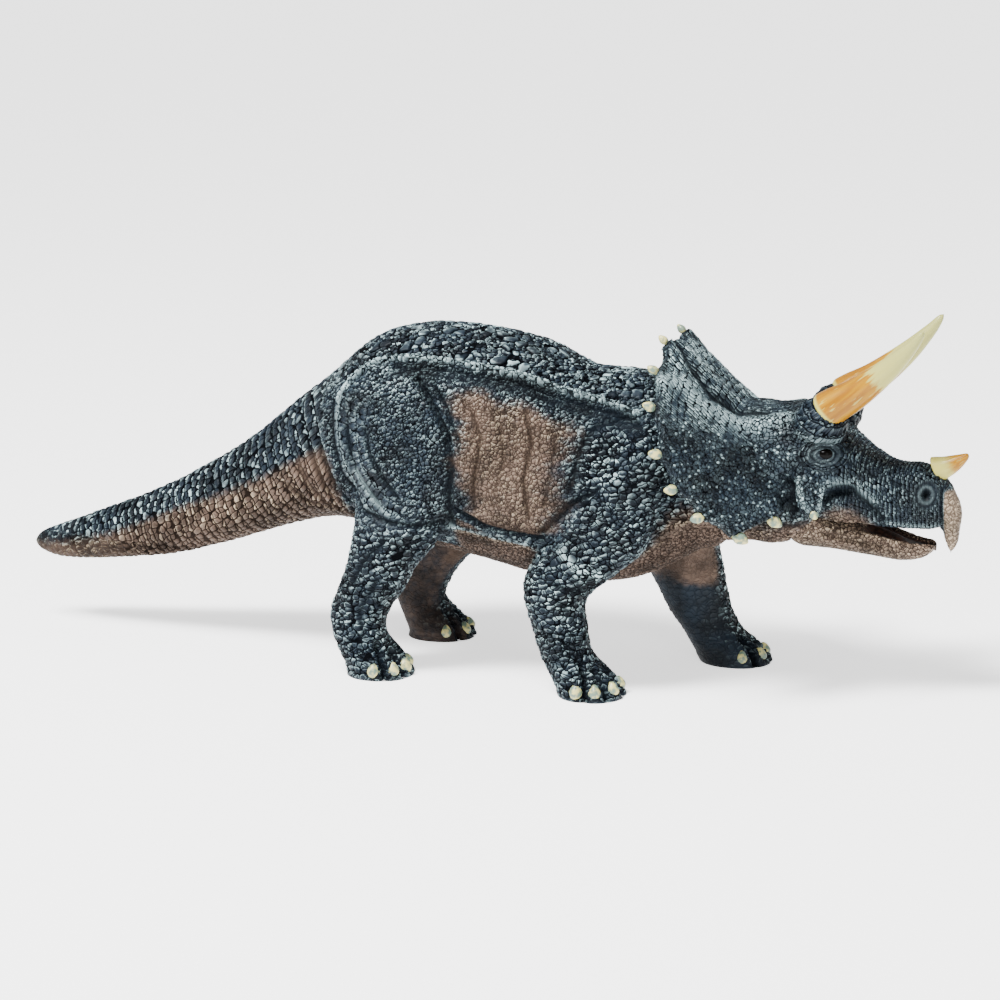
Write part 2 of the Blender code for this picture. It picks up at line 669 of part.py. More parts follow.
def frill_sheet(parent):
    """The bony frill: a flared sheet round the back of the skull, with thickness."""
    bm = bmesh.new()
    bmesh.ops.create_grid(bm, x_segments=FRILL_FACETS[0], y_segments=FRILL_FACETS[1], size=1.0)
    for vertex in bm.verts:
        vertex.co = frill_point(vertex.co.x, (vertex.co.y + 1.0) / 2.0)
    bmesh.ops.recalc_face_normals(bm, faces=bm.faces)
    made = piece("frill_shape", bm, parent)
    thick = made.modifiers.new("Thickness", "SOLIDIFY")
    thick.thickness = FRILL_THICKNESS
    thick.offset = 0.0
    return made


def stud(centre, outward, size_share):
    """A blunt bony stud that points outward."""
    bm = bmesh.new()
    radius, reach = STUD_DIAMETER * size_share / 2.0, STUD_LENGTH * size_share / 2.0
    stretch = Matrix.Diagonal((radius, radius, reach, 1.0))
    turned = outward.to_track_quat("Z", "Y").to_matrix().to_4x4()
    bmesh.ops.create_uvsphere(
        bm,
        u_segments=STUD_FACETS[1],
        v_segments=STUD_FACETS[0],
        radius=1.0,
        matrix=Matrix.Translation(centre) @ turned @ stretch,
    )
    return bm


def frill_studs():
    """The studs along the frill's rim and its lower front edges."""
    studs = []
    for turn, out, size_share in STUD_SHARES:
        for side in (1.0, -1.0):
            edge = frill_point(turn * side, out)
            if out < 1.0:
                outward = edge - frill_point((turn - AIM_STEP) * side, out)
            else:
                outward = edge - frill_point(turn * side, out - AIM_STEP)
            outward.normalize()
            centre = edge + outward * (STUD_OUT_SHARE * STUD_LENGTH * size_share)
            studs.append(stud(centre, outward, size_share))
    return merged(studs)


def lump(root, tip, radii, grow=0.0):
    """A rounded lump that runs from a root to a tip."""
    line = tip - root
    along = line.normalized()
    side = LEFT.cross(along).normalized()
    up = along.cross(side)
    first, last = radii
    end = line.length
    rings = (
        (-first, 0.0),
        (-first / 2.0, first * LUMP_ROOT_SHARE),
        (end * LUMP_WIDEST_SHARE, first),
        (end, last),
        (end + last * LUMP_TIP_SHARE, 0.0),
    )
    rows = [(place, 0.0, 0.0, radius, radius, radius) for place, radius in rings]
    bm = pulled_ball(rows, along, side, up, SMALL_FACETS, HORN_SQUARENESS, grow)
    bmesh.ops.translate(bm, verts=bm.verts, vec=root)
    return bm


class Horn:
    """A horn: a moulded, slightly curved cone with a plug on its base."""

    def __init__(self, name, base, direction, sizes, peg_sizes):
        self.name = name
        self.direction = direction.normalized()
        self.length, self.diameter = sizes
        self.peg_diameter, self.peg_length = peg_sizes
        self.base = base

    def form(self, grow=0.0):
        """The cone, cut flat on its base."""
        side = (UP.cross(self.direction)).normalized()
        up = self.direction.cross(side)
        sizes = (self.length, self.diameter, self.length, *[self.diameter] * 3)
        pole = (-HORN_SINK_SHARE, 0.0, 0.0, 0.0, 0.0, 0.0)
        rows = sized((pole, *HORN_SHARES), sizes)
        bm = pulled_ball(rows, self.direction, side, up, HORN_FACETS, HORN_SQUARENESS, grow)
        flat_cut(bm, -self.direction * grow, -self.direction)
        bmesh.ops.translate(bm, verts=bm.verts, vec=self.base)
        return bm

    def peg(self, grow=0.0):
        """The plug, back into the skull."""
        start = self.base + self.direction * (HORN_SINK_SHARE * self.length)
        length = self.peg_length + HORN_SINK_SHARE * self.length
        return rod(start, -self.direction, length, self.peg_diameter, grow)

    def build(self, parent, material):
        """The finished horn."""
        made = piece(self.name, self.form(), parent, material)
        combine(made, piece(f"{self.name}_plug_shape", self.peg(), parent), "UNION")
        return made

    def seat_in(self, target, parent):
        """Cut the horn's seat and socket in the skull."""
        seat = piece(f"{self.name}_seat_cutter", self.form(CLEARANCE), parent)
        socket = piece(f"{self.name}_socket_cutter", self.peg(CLEARANCE), parent)
        combine(target, seat, "DIFFERENCE")
        combine(target, socket, "DIFFERENCE")


def horns():
    """The two brow horns and the small one on the nose."""
    lean, spread = math.radians(BROW_HORN_LEAN), math.tan(math.radians(BROW_HORN_SPREAD))
    brow_base = head_point(BROW_HORN_SHARE)
    brow_sizes = (BROW_HORN_LENGTH, BROW_HORN_DIAMETER)
    brow_peg = (BROW_PEG_DIAMETER, BROW_PEG_LENGTH)
    made = []
    for name, side in (("brow_horn_right", -1.0), ("brow_horn_left", 1.0)):
        direction = Vector((math.cos(lean), spread * side, math.sin(lean)))
        made.append(Horn(name, mirrored(brow_base, side), direction, brow_sizes, brow_peg))
    lean = math.radians(NOSE_HORN_LEAN)
    nose_direction = Vector((math.cos(lean), 0.0, math.sin(lean)))
    nose_base = head_point(NOSE_HORN_SHARE)
    nose_sizes = (NOSE_HORN_LENGTH, NOSE_HORN_DIAMETER)
    nose_peg = (NOSE_PEG_DIAMETER, NOSE_PEG_LENGTH)
    made.append(Horn("nose_horn", nose_base, nose_direction, nose_sizes, nose_peg))
    return made


# The jaw, in its own frame: the origin is on its hinge
def jaw_form(grow=0.0):
    """The lower jaw, from behind its hinge to its tip."""
    sizes = (JAW_LENGTH, JAW_WIDTH, JAW_DEPTH, JAW_WIDTH, JAW_DEPTH, JAW_DEPTH)
    rows = sized(JAW_SHARES, sizes)
    return pulled_ball(rows, FORWARD, LEFT, UP, JAW_FACETS, BODY_SQUARENESS, grow)


def jaw_pin_form(grow=0.0):
    """The hinge pin, across the head."""
    start = -LEFT * (JAW_PIN_LENGTH / 2.0)
    return rod(start, LEFT, JAW_PIN_LENGTH, JAW_PIN_DIAMETER, grow)


def jaw_space():
    """The room that the jaw needs in the skull as it swings."""
    places = bmesh.new()
    for degrees in (JAW_CLOSING, 0.0, JAW_OPENING):
        swung = jaw_form(CLEARANCE)
        swing = Matrix.Rotation(math.radians(degrees), 3, "Y")
        bmesh.ops.rotate(swung, verts=swung.verts, matrix=swing)
        for vertex in swung.verts:
            places.verts.new(vertex.co)
        swung.free()
    hull = bmesh.ops.convex_hull(places, input=places.verts)
    inside = [item for item in hull["geom_interior"] if isinstance(item, bmesh.types.BMVert)]
    bmesh.ops.delete(places, geom=inside, context="VERTS")
    bmesh.ops.recalc_face_normals(places, faces=places.faces)
    return places


def lower_jaw(parent, material):
    """The jaw with the hole that its pin runs through."""
    made = piece("lower_jaw", jaw_form(), parent, material)
    hole = rod(-LEFT * JAW_WIDTH, LEFT, 2.0 * JAW_WIDTH, JAW_PIN_DIAMETER, CLEARANCE)
    combine(made, piece("jaw_pin_hole_cutter", hole, parent), "DIFFERENCE")
    return made


def head(parent, jaw_parent, horn_list, material):
    """The skull, beak, frill, studs, cheek flaps and horn bosses, in one moulding."""
    made = piece("head", skull_form(), parent, material)
    combine(made, piece("beak_shape", beak_form(), parent), "UNION")
    combine(made, frill_sheet(parent), "UNION")
    combine(made, piece("stud_shapes", frill_studs(), parent), "UNION")
    for side, word in ((-1.0, "right"), (1.0, "left")):
        cheek_ends = [mirrored(head_point(s), side) for s in (CHEEK_ROOT_SHARE, CHEEK_TIP_SHARE)]
        cheek = lump(*cheek_ends, [share * HEAD_WIDTH for share in CHEEK_RADIUS_SHARES])
        combine(made, piece(f"cheek_{word}_shape", cheek, parent), "UNION")
        boss_ends = [mirrored(head_point(s), side) for s in (BOSS_ROOT_SHARE, BOSS_TIP_SHARE)]
        boss = lump(*boss_ends, [share * HEAD_WIDTH for share in BOSS_RADIUS_SHARES])
        combine(made, piece(f"boss_{word}_shape", boss, parent), "UNION")
    combine(made, piece("neck_room_cutter", neck_room(), parent), "DIFFERENCE")
    for part, word in zip(neck_pin_forms(CLEARANCE), ("stem", "cap")):
        combine(made, piece(f"head_{word}_cutter", part, parent), "DIFFERENCE")
    combine(made, piece("jaw_space_cutter", jaw_space(), jaw_parent), "DIFFERENCE")
    combine(made, piece("jaw_pin_socket_cutter", jaw_pin_form(CLEARANCE), jaw_parent), "DIFFERENCE")
    for horn in horn_list:
        horn.seat_in(made, parent)
    return made


def figure():
    """Put the whole figure together."""
    skin = moulded_plastic("painted_slate_skin", "#3f4a50", 0.62)
    hide = moulded_plastic("painted_tan_hide", "#6b5240", 0.66)
    horn_paint = moulded_plastic("glossy_cream_horn", "#c9b58a", 0.30)
    pin_plastic = moulded_plastic("hard_grey_plastic", "#55585a", 0.45)
    trunk = anchor("trunk_anchor", Vector((TAIL_TIP_X, 0.0, -SOLE_RISE)))
    swivel = anchor("head_swivel", NECK_FACE)
    hinge = anchor("jaw_hinge", head_point(JAW_HINGE_SHARE), swivel)

    body = torso(trunk, skin)
    tail(trunk, skin)
    combine(body, piece("tail_socket_cutter", tail_peg(CLEARANCE), trunk), "DIFFERENCE")
    for leg in LEGS:
        leg.build(trunk, skin)
        leg.seat_in(body, trunk)
    neck_pin(swivel, pin_plastic)
    for part, word in zip(neck_pin_forms(CLEARANCE), ("stem", "cap")):
        combine(body, piece(f"neck_{word}_cutter", part, swivel), "DIFFERENCE")

    horn_list = horns()
    head(swivel, hinge, horn_list, skin)
    for horn in horn_list:
        horn.build(swivel, horn_paint)
    piece("jaw_pin", jaw_pin_form(), hinge, pin_plastic)
    lower_jaw(hinge, hide)


figure()
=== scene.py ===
# %% [markdown]
# # A painted toy dinosaur
# The figure is soft moulded plastic, painted by hand: a slate blue-black coat, a pale grey-green
# dry brush over every raised scale, tan on the belly, flanks and tail, and gloss on the horns.
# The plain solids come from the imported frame. This lesson lays a sculpted, scaled and painted
# skin over them, in the same places and at the same size.

import math

import bmesh
import bpy
import numpy as np
from mathutils import Matrix, Vector


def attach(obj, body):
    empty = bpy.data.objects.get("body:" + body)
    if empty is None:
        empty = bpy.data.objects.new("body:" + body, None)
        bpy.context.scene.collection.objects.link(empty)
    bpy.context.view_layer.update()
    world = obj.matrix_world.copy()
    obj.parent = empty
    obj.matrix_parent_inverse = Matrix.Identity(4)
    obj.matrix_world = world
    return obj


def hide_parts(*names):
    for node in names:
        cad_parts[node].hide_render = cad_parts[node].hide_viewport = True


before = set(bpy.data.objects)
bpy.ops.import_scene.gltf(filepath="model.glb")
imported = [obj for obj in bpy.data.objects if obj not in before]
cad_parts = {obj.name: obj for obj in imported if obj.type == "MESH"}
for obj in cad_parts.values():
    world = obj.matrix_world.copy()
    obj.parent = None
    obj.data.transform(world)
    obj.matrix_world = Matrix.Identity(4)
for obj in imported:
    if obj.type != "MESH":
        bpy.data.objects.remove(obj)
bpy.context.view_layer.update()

# %% [markdown]
# ## Small helpers
# Colours are written as the sRGB hex values that a paint chart would give, and one function turns
# them into the linear values that a shader needs. One more adds a node with its settings and its
# links, and it serves shader trees and geometry trees alike.


# %% Colours and nodes
def linear(hex_colour):
    """An sRGB hex colour as linear values."""
    channels = [int(hex_colour[i:i + 2], 16) / 255.0 for i in (1, 3, 5)]
    values = [c / 12.92 if c <= 0.04045 else ((c + 0.055) / 1.055) ** 2.4 for c in channels]
    return (*values, 1.0)


def plug(tree, node, inputs):
    """Set a node's inputs, or link them where the value is a socket."""
    for name, value in inputs.items():
        if isinstance(value, bpy.types.NodeSocket):
            tree.links.new(value, node.inputs[name])
        else:
            node.inputs[name].default_value = value
    return node


def add(tree, kind, settings=None, inputs=None):
    """A new node, with its settings, and its inputs set or linked."""
    node = tree.nodes.new(kind)
    for name, value in (settings or {}).items():
        setattr(node, name, value)
    return plug(tree, node, inputs or {})


def new_material(name):
    """A material with its tree and its shader."""
    material = bpy.data.materials.new(name)
    material.use_nodes = True
    return material, material.node_tree, material.node_tree.nodes["Principled BSDF"]


def maths(tree, operation, *values):
    """The result of one sum on numbers or sockets."""
    clamp = operation.startswith("CLAMP_")
    settings = {"operation": operation.replace("CLAMP_", ""), "use_clamp": clamp}
    return add(tree, "ShaderNodeMath", settings, dict(enumerate(values))).outputs[0]


def product(tree, first, *others):
    """The product of several numbers or sockets."""
    for other in others:
        first = maths(tree, "MULTIPLY", first, other)
    return first


def step(tree, value, low, high, to_low=0.0, to_high=1.0):
    """A soft step of a value between two limits."""
    inputs = {"Value": value, 1: low, 2: high, 3: to_low, 4: to_high}
    return add(tree, "ShaderNodeMapRange", {"interpolation_type": "SMOOTHSTEP"}, inputs).outputs[0]


def blend(tree, share, first, second):
    """A mix of two colours."""
    inputs = {0: share, 6: first, 7: second}
    return add(tree, "ShaderNodeMix", {"data_type": "RGBA"}, inputs).outputs[2]


def mix(tree, share, first, second):
    """A mix of two numbers."""
    inputs = {0: share, 2: first, 3: second}
    return add(tree, "ShaderNodeMix", {"data_type": "FLOAT"}, inputs).outputs[0]


def axis_of(tree, vector, axis):
    """One number of a vector."""
    return add(tree, "ShaderNodeSeparateXYZ", None, {0: vector}).outputs[axis]


def noise_at(tree, where, size, detail=2.0):
    """A cloudy number from 0 to 1, with clouds of a size in metres."""
    inputs = {"Vector": where, "Scale": 1.0 / size, "Detail": detail}
    return add(tree, "ShaderNodeTexNoise", None, inputs).outputs["Fac"]


def own_place(tree):
    """Each point's place in its piece."""
    return add(tree, "ShaderNodeTexCoord").outputs["Object"]


def bumped(tree, height, distance, strength):
    """A normal with a small relief, as deep as a distance in metres."""
    inputs = {"Height": height, "Distance": distance, "Strength": strength}
    return add(tree, "ShaderNodeBump", None, inputs).outputs[0]


def clouded_material(name, size, colours, levels):
    """One paint in two shades that drift into each other, with the shader's other levels."""
    material, tree, shader = new_material(name)
    colour = blend(tree, noise_at(tree, own_place(tree), size), *map(linear, colours))
    plug(tree, shader, {"Base Color": colour, **levels})
    return material


def in_scene(name, data):
    """A new object at the origin of the scene."""
    made = bpy.data.objects.new(name, data)
    bpy.context.scene.collection.objects.link(made)
    return made


def facing(way):
    """The turn that points an object's own Z axis one way."""
    return way.to_track_quat("Z", "Y")


# %% [markdown]
# ## The camera
# The photograph looks at the figure's right side from a little in front and a little above, from
# far enough off that the perspective is weak. A long lens does that. The angles were found by
# fitting the four soles to the ground, so they are plain numbers here.

# %% Camera
AZIMUTH, ELEVATION, DISTANCE = math.radians(18.5), math.radians(13.0), 0.6
FOCAL_LENGTH, SENSOR_WIDTH = 101.4, 36.0
TARGET = Vector((0.01189, -0.017, 0.0407))

level = math.cos(ELEVATION)
backward = Vector((math.sin(AZIMUTH) * level, -math.cos(AZIMUTH) * level, math.sin(ELEVATION)))
lens = bpy.data.cameras.new("camera")
lens.lens, lens.sensor_width = FOCAL_LENGTH, SENSOR_WIDTH
camera = in_scene("camera", lens)
camera.location = TARGET + backward * DISTANCE
camera.rotation_euler = facing(backward).to_euler()
bpy.context.scene.camera = camera

# %% [markdown]
# ## Floor and light
# A plain pale floor that runs past the view, a broad soft light overhead, a weaker one from the
# camera's side, and a wide bank that gives the pale even ground and its soft shadow.

# %% Stage
FLOOR_SIZE, FLOOR_GLOW, SKY_STRENGTH = 12.0, 1.3, 0.5
BANK_STRENGTH, BANK_WIDTH, BANK_WAY = 4.4, math.radians(14.0), Vector((-0.35, -0.45, 0.82))

floor_shape = bmesh.new()
bmesh.ops.create_grid(floor_shape, x_segments=1, y_segments=1, size=FLOOR_SIZE / 2.0)
floor_mesh = bpy.data.meshes.new("floor")
floor_shape.to_mesh(floor_mesh)
floor_shape.free()
floor = in_scene("floor", floor_mesh)
paper, paper_tree, paper_shader = new_material("white_paper_sweep")
plug(paper_tree, paper_shader, {
    "Base Color": linear("#fafafa"), "Roughness": 0.9,
    "Emission Color": linear("#ffffff"), "Emission Strength": FLOOR_GLOW})
floor_mesh.materials.append(paper)

world = bpy.data.worlds.new("studio")
bpy.context.scene.world = world
world.use_nodes = True
sky = {"Color": linear("#ffffff"), "Strength": SKY_STRENGTH}
plug(world.node_tree, world.node_tree.nodes["Background"], sky)


def softbox(name, place, aim, size, power):
    """A square area light that looks at a point."""
    light = bpy.data.lights.new(name, "AREA")
    light.size, light.energy = size, power
    lamp = in_scene(name, light)
    lamp.location = place
    lamp.rotation_euler = facing(Vector(place) - Vector(aim)).to_euler()


softbox("overhead", (-0.15, -0.30, 0.70), TARGET, 0.25, 12.0)
softbox("front_fill", (0.55, -0.70, 0.35), TARGET, 0.4, 3.0)
sun = bpy.data.lights.new("wide_bank", "SUN")
sun.energy, sun.angle = BANK_STRENGTH, BANK_WIDTH
in_scene("wide_bank", sun).rotation_euler = facing(BANK_WAY).to_euler()

# %% [markdown]
# ## The same shares as the solids
# The moulding's main shapes come from tables of shares of a few sizes. They are the same tables
# as in the solid part, so that the skin lies on the solids: each row is a section, with its place,
# its shift, its height, its half width and its half heights.

# %% Sizes, in metres
TRUNK_LENGTH, BACK_HEIGHT, BODY_WIDTH = 0.1662, 0.0767, 0.048
HEAD_LENGTH, HEAD_HEIGHT, HEAD_WIDTH = 0.050, 0.030, 0.027
FRILL_RADIUS, FRILL_THICKNESS, FRILL_SWEEP = 0.0305, 0.0032, 110.0
JAW_LENGTH, JAW_WIDTH, JAW_DEPTH = 0.0355, 0.0176, 0.0114
BROW_HORN_LENGTH, BROW_HORN_DIAMETER, BROW_HORN_LEAN, BROW_HORN_SPREAD = 0.0275, 0.0076, 41.5, 5.0
NOSE_HORN_LENGTH, NOSE_HORN_DIAMETER, NOSE_HORN_LEAN = 0.0077, 0.0054, 28.0
STUD_LENGTH, STUD_DIAMETER = 0.0054, 0.0041
NAIL_WIDTH, NAIL_HEIGHT, NAIL_DEPTH = 0.0037, 0.0038, 0.0034
NECK_GAP = 0.0004
TAIL_TIP = Vector((-0.10831, 0.0, -0.0013))
NECK = Vector((0.05789, 0.0, 0.04671))
JAW_HINGE = Vector((0.07649, 0.0, 0.04071))
FORWARD, LEFT, UP = Vector((1, 0, 0)), Vector((0, 1, 0)), Vector((0, 0, 1))

# %% Shares of the body and the legs
BODY_SHARES = (
    (0, 0, 0.26, 0, 0, 0), (0.012, 0, 0.261, 0.04, 0.029, 0.024),
    (0.043, 0, 0.267, 0.079, 0.053, 0.048), (0.103, 0, 0.293, 0.113, 0.077, 0.069),
    (0.164, 0, 0.326, 0.142, 0.098, 0.085), (0.224, 0, 0.365, 0.171, 0.12, 0.102),
    (0.284, 0, 0.411, 0.202, 0.146, 0.112), (0.344, 0, 0.463, 0.233, 0.179, 0.12),
    (0.404, 0, 0.528, 0.281, 0.221, 0.14), (0.465, 0, 0.6, 0.354, 0.253, 0.18),
    (0.522, 0, 0.645, 0.427, 0.309, 0.234), (0.579, 0, 0.658, 0.462, 0.335, 0.284),
    (0.633, 0, 0.652, 0.481, 0.347, 0.298), (0.693, 0, 0.645, 0.496, 0.341, 0.315),
    (0.753, 0, 0.632, 0.5, 0.326, 0.329), (0.807, 0, 0.619, 0.469, 0.284, 0.328),
    (0.868, 0, 0.613, 0.417, 0.283, 0.313), (0.916, 0, 0.619, 0.354, 0.263, 0.28),
    (0.964, 0, 0.626, 0.296, 0.224, 0.226), (1, 0, 0.626, 0.271, 0.189, 0.189),
    (1.04, 0, 0.626, 0, 0, 0),
)
HIP_SHARES = (
    (0.887, 0.271, -0.035, 0, 0, 0), (0.847, 0.275, -0.035, 0.244, 0.31, 0.31),
    (0.782, 0.292, -0.031, 0.402, 0.442, 0.442),
)
RIGHT_HIND_SHARES = (
    *HIP_SHARES, (0.652, 0.317, -0.005, 0.5, 0.5, 0.5), (0.522, 0.333, 0.005, 0.488, 0.434, 0.434),
    (0.417, 0.344, -0.026, 0.439, 0.372, 0.372), (0.326, 0.352, -0.07, 0.39, 0.291, 0.3),
    (0.261, 0.354, -0.098, 0.366, 0.275, 0.289), (0.196, 0.354, -0.13, 0.354, 0.237, 0.264),
    (0.13, 0.354, -0.127, 0.36, 0.202, 0.25), (0.078, 0.354, -0.097, 0.41, 0.246, 0.275),
    (0.033, 0.354, -0.074, 0.44, 0.274, 0.275), (0, 0.354, -0.074, 0.42, 0.274, 0.26),
    (-0.04, 0.354, -0.074, 0, 0, 0),
)
LEFT_HIND_SHARES = (
    *HIP_SHARES, (0.652, 0.317, -0.005, 0.5, 0.5, 0.5), (0.522, 0.333, 0.012, 0.488, 0.434, 0.434),
    (0.417, 0.344, 0.008, 0.439, 0.425, 0.372), (0.326, 0.35, -0.013, 0.39, 0.372, 0.31),
    (0.261, 0.35, -0.061, 0.366, 0.29, 0.27), (0.196, 0.348, -0.099, 0.354, 0.258, 0.245),
    (0.13, 0.346, -0.111, 0.36, 0.226, 0.2), (0.078, 0.346, -0.078, 0.41, 0.286, 0.236),
    (0.033, 0.346, -0.051, 0.44, 0.316, 0.262), (0, 0.346, -0.048, 0.42, 0.3, 0.266),
    (-0.04, 0.346, -0.048, 0, 0, 0),
)
SHOULDER_SHARES = (
    (0.834, 0.271, 0.056, 0, 0, 0), (0.795, 0.281, 0.05, 0.203, 0.194, 0.194),
    (0.73, 0.302, 0.043, 0.338, 0.316, 0.316),
)
RIGHT_FORE_SHARES = (
    *SHOULDER_SHARES, (0.626, 0.323, 0.014, 0.439, 0.437, 0.437),
    (0.522, 0.333, -0.035, 0.473, 0.485, 0.485), (0.43, 0.354, -0.078, 0.473, 0.52, 0.5),
    (0.352, 0.371, -0.142, 0.446, 0.432, 0.47), (0.287, 0.379, -0.176, 0.419, 0.3, 0.35),
    (0.209, 0.381, -0.167, 0.392, 0.28, 0.3), (0.13, 0.379, -0.145, 0.405, 0.252, 0.29),
    (0.078, 0.375, -0.108, 0.45, 0.312, 0.335), (0.039, 0.373, -0.085, 0.49, 0.352, 0.34),
    (0, 0.371, -0.077, 0.473, 0.335, 0.31), (-0.04, 0.371, -0.077, 0, 0, 0),
)
LEFT_FORE_SHARES = (
    *SHOULDER_SHARES, (0.626, 0.323, 0.023, 0.439, 0.437, 0.437),
    (0.522, 0.333, 0.017, 0.473, 0.476, 0.476), (0.43, 0.346, 0.023, 0.473, 0.476, 0.476),
    (0.352, 0.358, 0.043, 0.446, 0.455, 0.445), (0.287, 0.365, 0.065, 0.426, 0.423, 0.42),
    (0.222, 0.367, 0.09, 0.405, 0.376, 0.385), (0.156, 0.367, 0.118, 0.405, 0.338, 0.35),
    (0.104, 0.365, 0.156, 0.432, 0.32, 0.34), (0.052, 0.365, 0.203, 0.493, 0.388, 0.388),
    (0, 0.365, 0.228, 0.473, 0.35, 0.35), (-0.04, 0.365, 0.228, 0, 0, 0),
)
# Each leg: side, rows, seat along the trunk, length and width of its sections, and the turns of
# its nails from straight ahead, outward, in degrees
LEGS = {
    "right_hind_leg": (-1, RIGHT_HIND_SHARES, 0.591, 0.0258, 0.0164, (80, 40, 4, -34)),
    "left_hind_leg": (1, LEFT_HIND_SHARES, 0.591, 0.0258, 0.0164, (66, 26, -14, -58)),
    "right_fore_leg": (-1, RIGHT_FORE_SHARES, 0.885, 0.0206, 0.0148, (98, 62, 22, -22)),
    "left_fore_leg": (1, LEFT_FORE_SHARES, 0.885, 0.0206, 0.0148, (62, 22, -17, -60)),
}

# %% Shares of the head
SKULL_SHARES = (
    (-0.08, 0, 0, 0, 0, 0), (-0.05, 0, 0, 0.42, 0.44, 0.44), (0, 0, 0, 0.467, 0.483, 0.477),
    (0.112, 0, 0.017, 0.481, 0.507, 0.477), (0.232, 0, 0.033, 0.5, 0.48, 0.5),
    (0.332, 0, 0.05, 0.5, 0.472, 0.46), (0.412, 0, 0.05, 0.481, 0.432, 0.35),
    (0.512, 0, 0.017, 0.437, 0.337, 0.312), (0.612, 0, -0.017, 0.363, 0.242, 0.284),
    (0.712, 0, -0.04, 0.289, 0.188, 0.28), (0.832, 0, -0.04, 0.215, 0.186, 0.274),
    (0.9, 0, -0.05, 0.17, 0.14, 0.24), (0.95, 0, -0.1, 0.104, 0.06, 0.15),
    (0.975, 0, -0.12, 0, 0, 0),
)
BEAK_SHARES = (
    (0.11, 0, 0.86, 0, 0, 0), (0.06, 0, 0.862, 0.12, 0.058, 0.066),
    (-0.06, 0, 0.89, 0.148, 0.08, 0.08), (-0.18, 0, 0.93, 0.13, 0.064, 0.058),
    (-0.3, 0, 0.95, 0.096, 0.038, 0.038), (-0.4, 0, 0.956, 0.06, 0.024, 0.024),
    (-0.482, 0, 0.952, 0, 0, 0),
)
# The frill: turn from the top, place forward and radius of its root, then those of its rim
FRILL_SHARES = (
    (0, 0.086, 0.385, -0.232, 0.885), (0.13, 0.104, 0.405, -0.25, 0.955),
    (0.29, 0.13, 0.396, -0.25, 0.895), (0.47, 0.176, 0.388, -0.224, 0.895),
    (0.66, 0.226, 0.376, -0.166, 0.92), (0.79, 0.27, 0.37, -0.094, 0.905),
    (0.9, 0.312, 0.364, 0.012, 0.875), (1, 0.352, 0.358, 0.13, 0.82),
)
# The studs on each side of the frill: turn, place out and size
STUD_SHARES = (
    (0.13, 1, 0.6), (0.29, 1, 0.66), (0.47, 1, 0.72), (0.66, 1, 0.74), (0.79, 1, 0.74),
    (0.9, 1, 0.76), (1, 0.96, 0.9), (1, 0.45, 0.86),
)
STUD_OUT_SHARE, AIM_STEP = 0.16, 0.02
CHEEK = ((0.360, 0.33, 0.020), (0.436, 0.600, -0.140), (0.200, 0.050))
BOSS = ((0.370, 0.235, 0.270), (0.446, 0.325, 0.520), (0.190, 0.184))
BROW_HORN_SHARE, NOSE_HORN_SHARE = (0.444, 0.335, 0.528), (0.878, 0.000, 0.110)
HORN_SHARES = (
    (-0.1, 0, 0, 0, 0, 0), (0, 0, 0, 0.485, 0.485, 0.485), (0.08, 0, 0, 0.5, 0.5, 0.5),
    (0.3, 0, -0.034, 0.42, 0.42, 0.42), (0.6, 0, -0.042, 0.305, 0.305, 0.305),
    (0.85, 0, -0.02, 0.175, 0.175, 0.175), (0.97, 0, 0.004, 0.085, 0.085, 0.085),
    (1, 0, 0.01, 0, 0, 0),
)
JAW_SHARES = (
    (-0.19, 0, -0.12, 0, 0, 0), (-0.15, 0, -0.12, 0.33, 0.24, 0.42),
    (-0.07, 0, -0.14, 0.48, 0.37, 0.6), (0.03, 0, -0.18, 0.5, 0.42, 0.58),
    (0.14, 0, -0.27, 0.495, 0.31, 0.5), (0.28, 0, -0.4, 0.44, 0.24, 0.415),
    (0.42, 0, -0.51, 0.37, 0.21, 0.355), (0.535, 0, -0.59, 0.3, 0.175, 0.315),
    (0.65, 0, -0.61, 0.22, 0.13, 0.235), (0.714, 0, -0.6, 0.14, 0.08, 0.11),
    (0.738, 0, -0.58, 0, 0, 0),
)

# %% [markdown]
# ## Pulling a ball along sections
# Most forms of the figure are a ball that is pulled out along a line of rounded sections, as a
# sculptor pulls a lump of clay. A smooth curve through the rows gives each section its size. A
# ball has a pole at each end, so such a form is closed from the start.


# %% Pulled balls
def row_at(rows, place):
    """The values at a place down a table, on a smooth curve through its rows."""
    last = len(rows) - 1
    k = 0
    while k < last - 1 and place > rows[k + 1][0]:
        k += 1
    span = rows[k + 1][0] - rows[k][0]
    t = (place - rows[k][0]) / span
    values = []
    for column in range(1, len(rows[0])):
        slopes = []
        for i in (k, k + 1):
            before, after = rows[max(i - 1, 0)], rows[min(i + 1, last)]
            slopes.append((after[column] - before[column]) / (after[0] - before[0]) * span)
        start, end = rows[k][column], rows[k + 1][column]
        values.append(
            start * (2 * t ** 3 - 3 * t ** 2 + 1)
            + slopes[0] * (t ** 3 - 2 * t ** 2 + t)
            + end * (3 * t ** 2 - 2 * t ** 3)
            + slopes[1] * (t ** 3 - t ** 2)
        )
    return values


def sized(share_rows, length, width, height, reach=None):
    """A table of shares, each column times its own size, in rising order of place."""
    reach = reach or (width, height)
    sizes = (length, width, height, reach[0], reach[1], reach[1])
    return sorted(tuple(share * size for share, size in zip(row, sizes)) for row in share_rows)


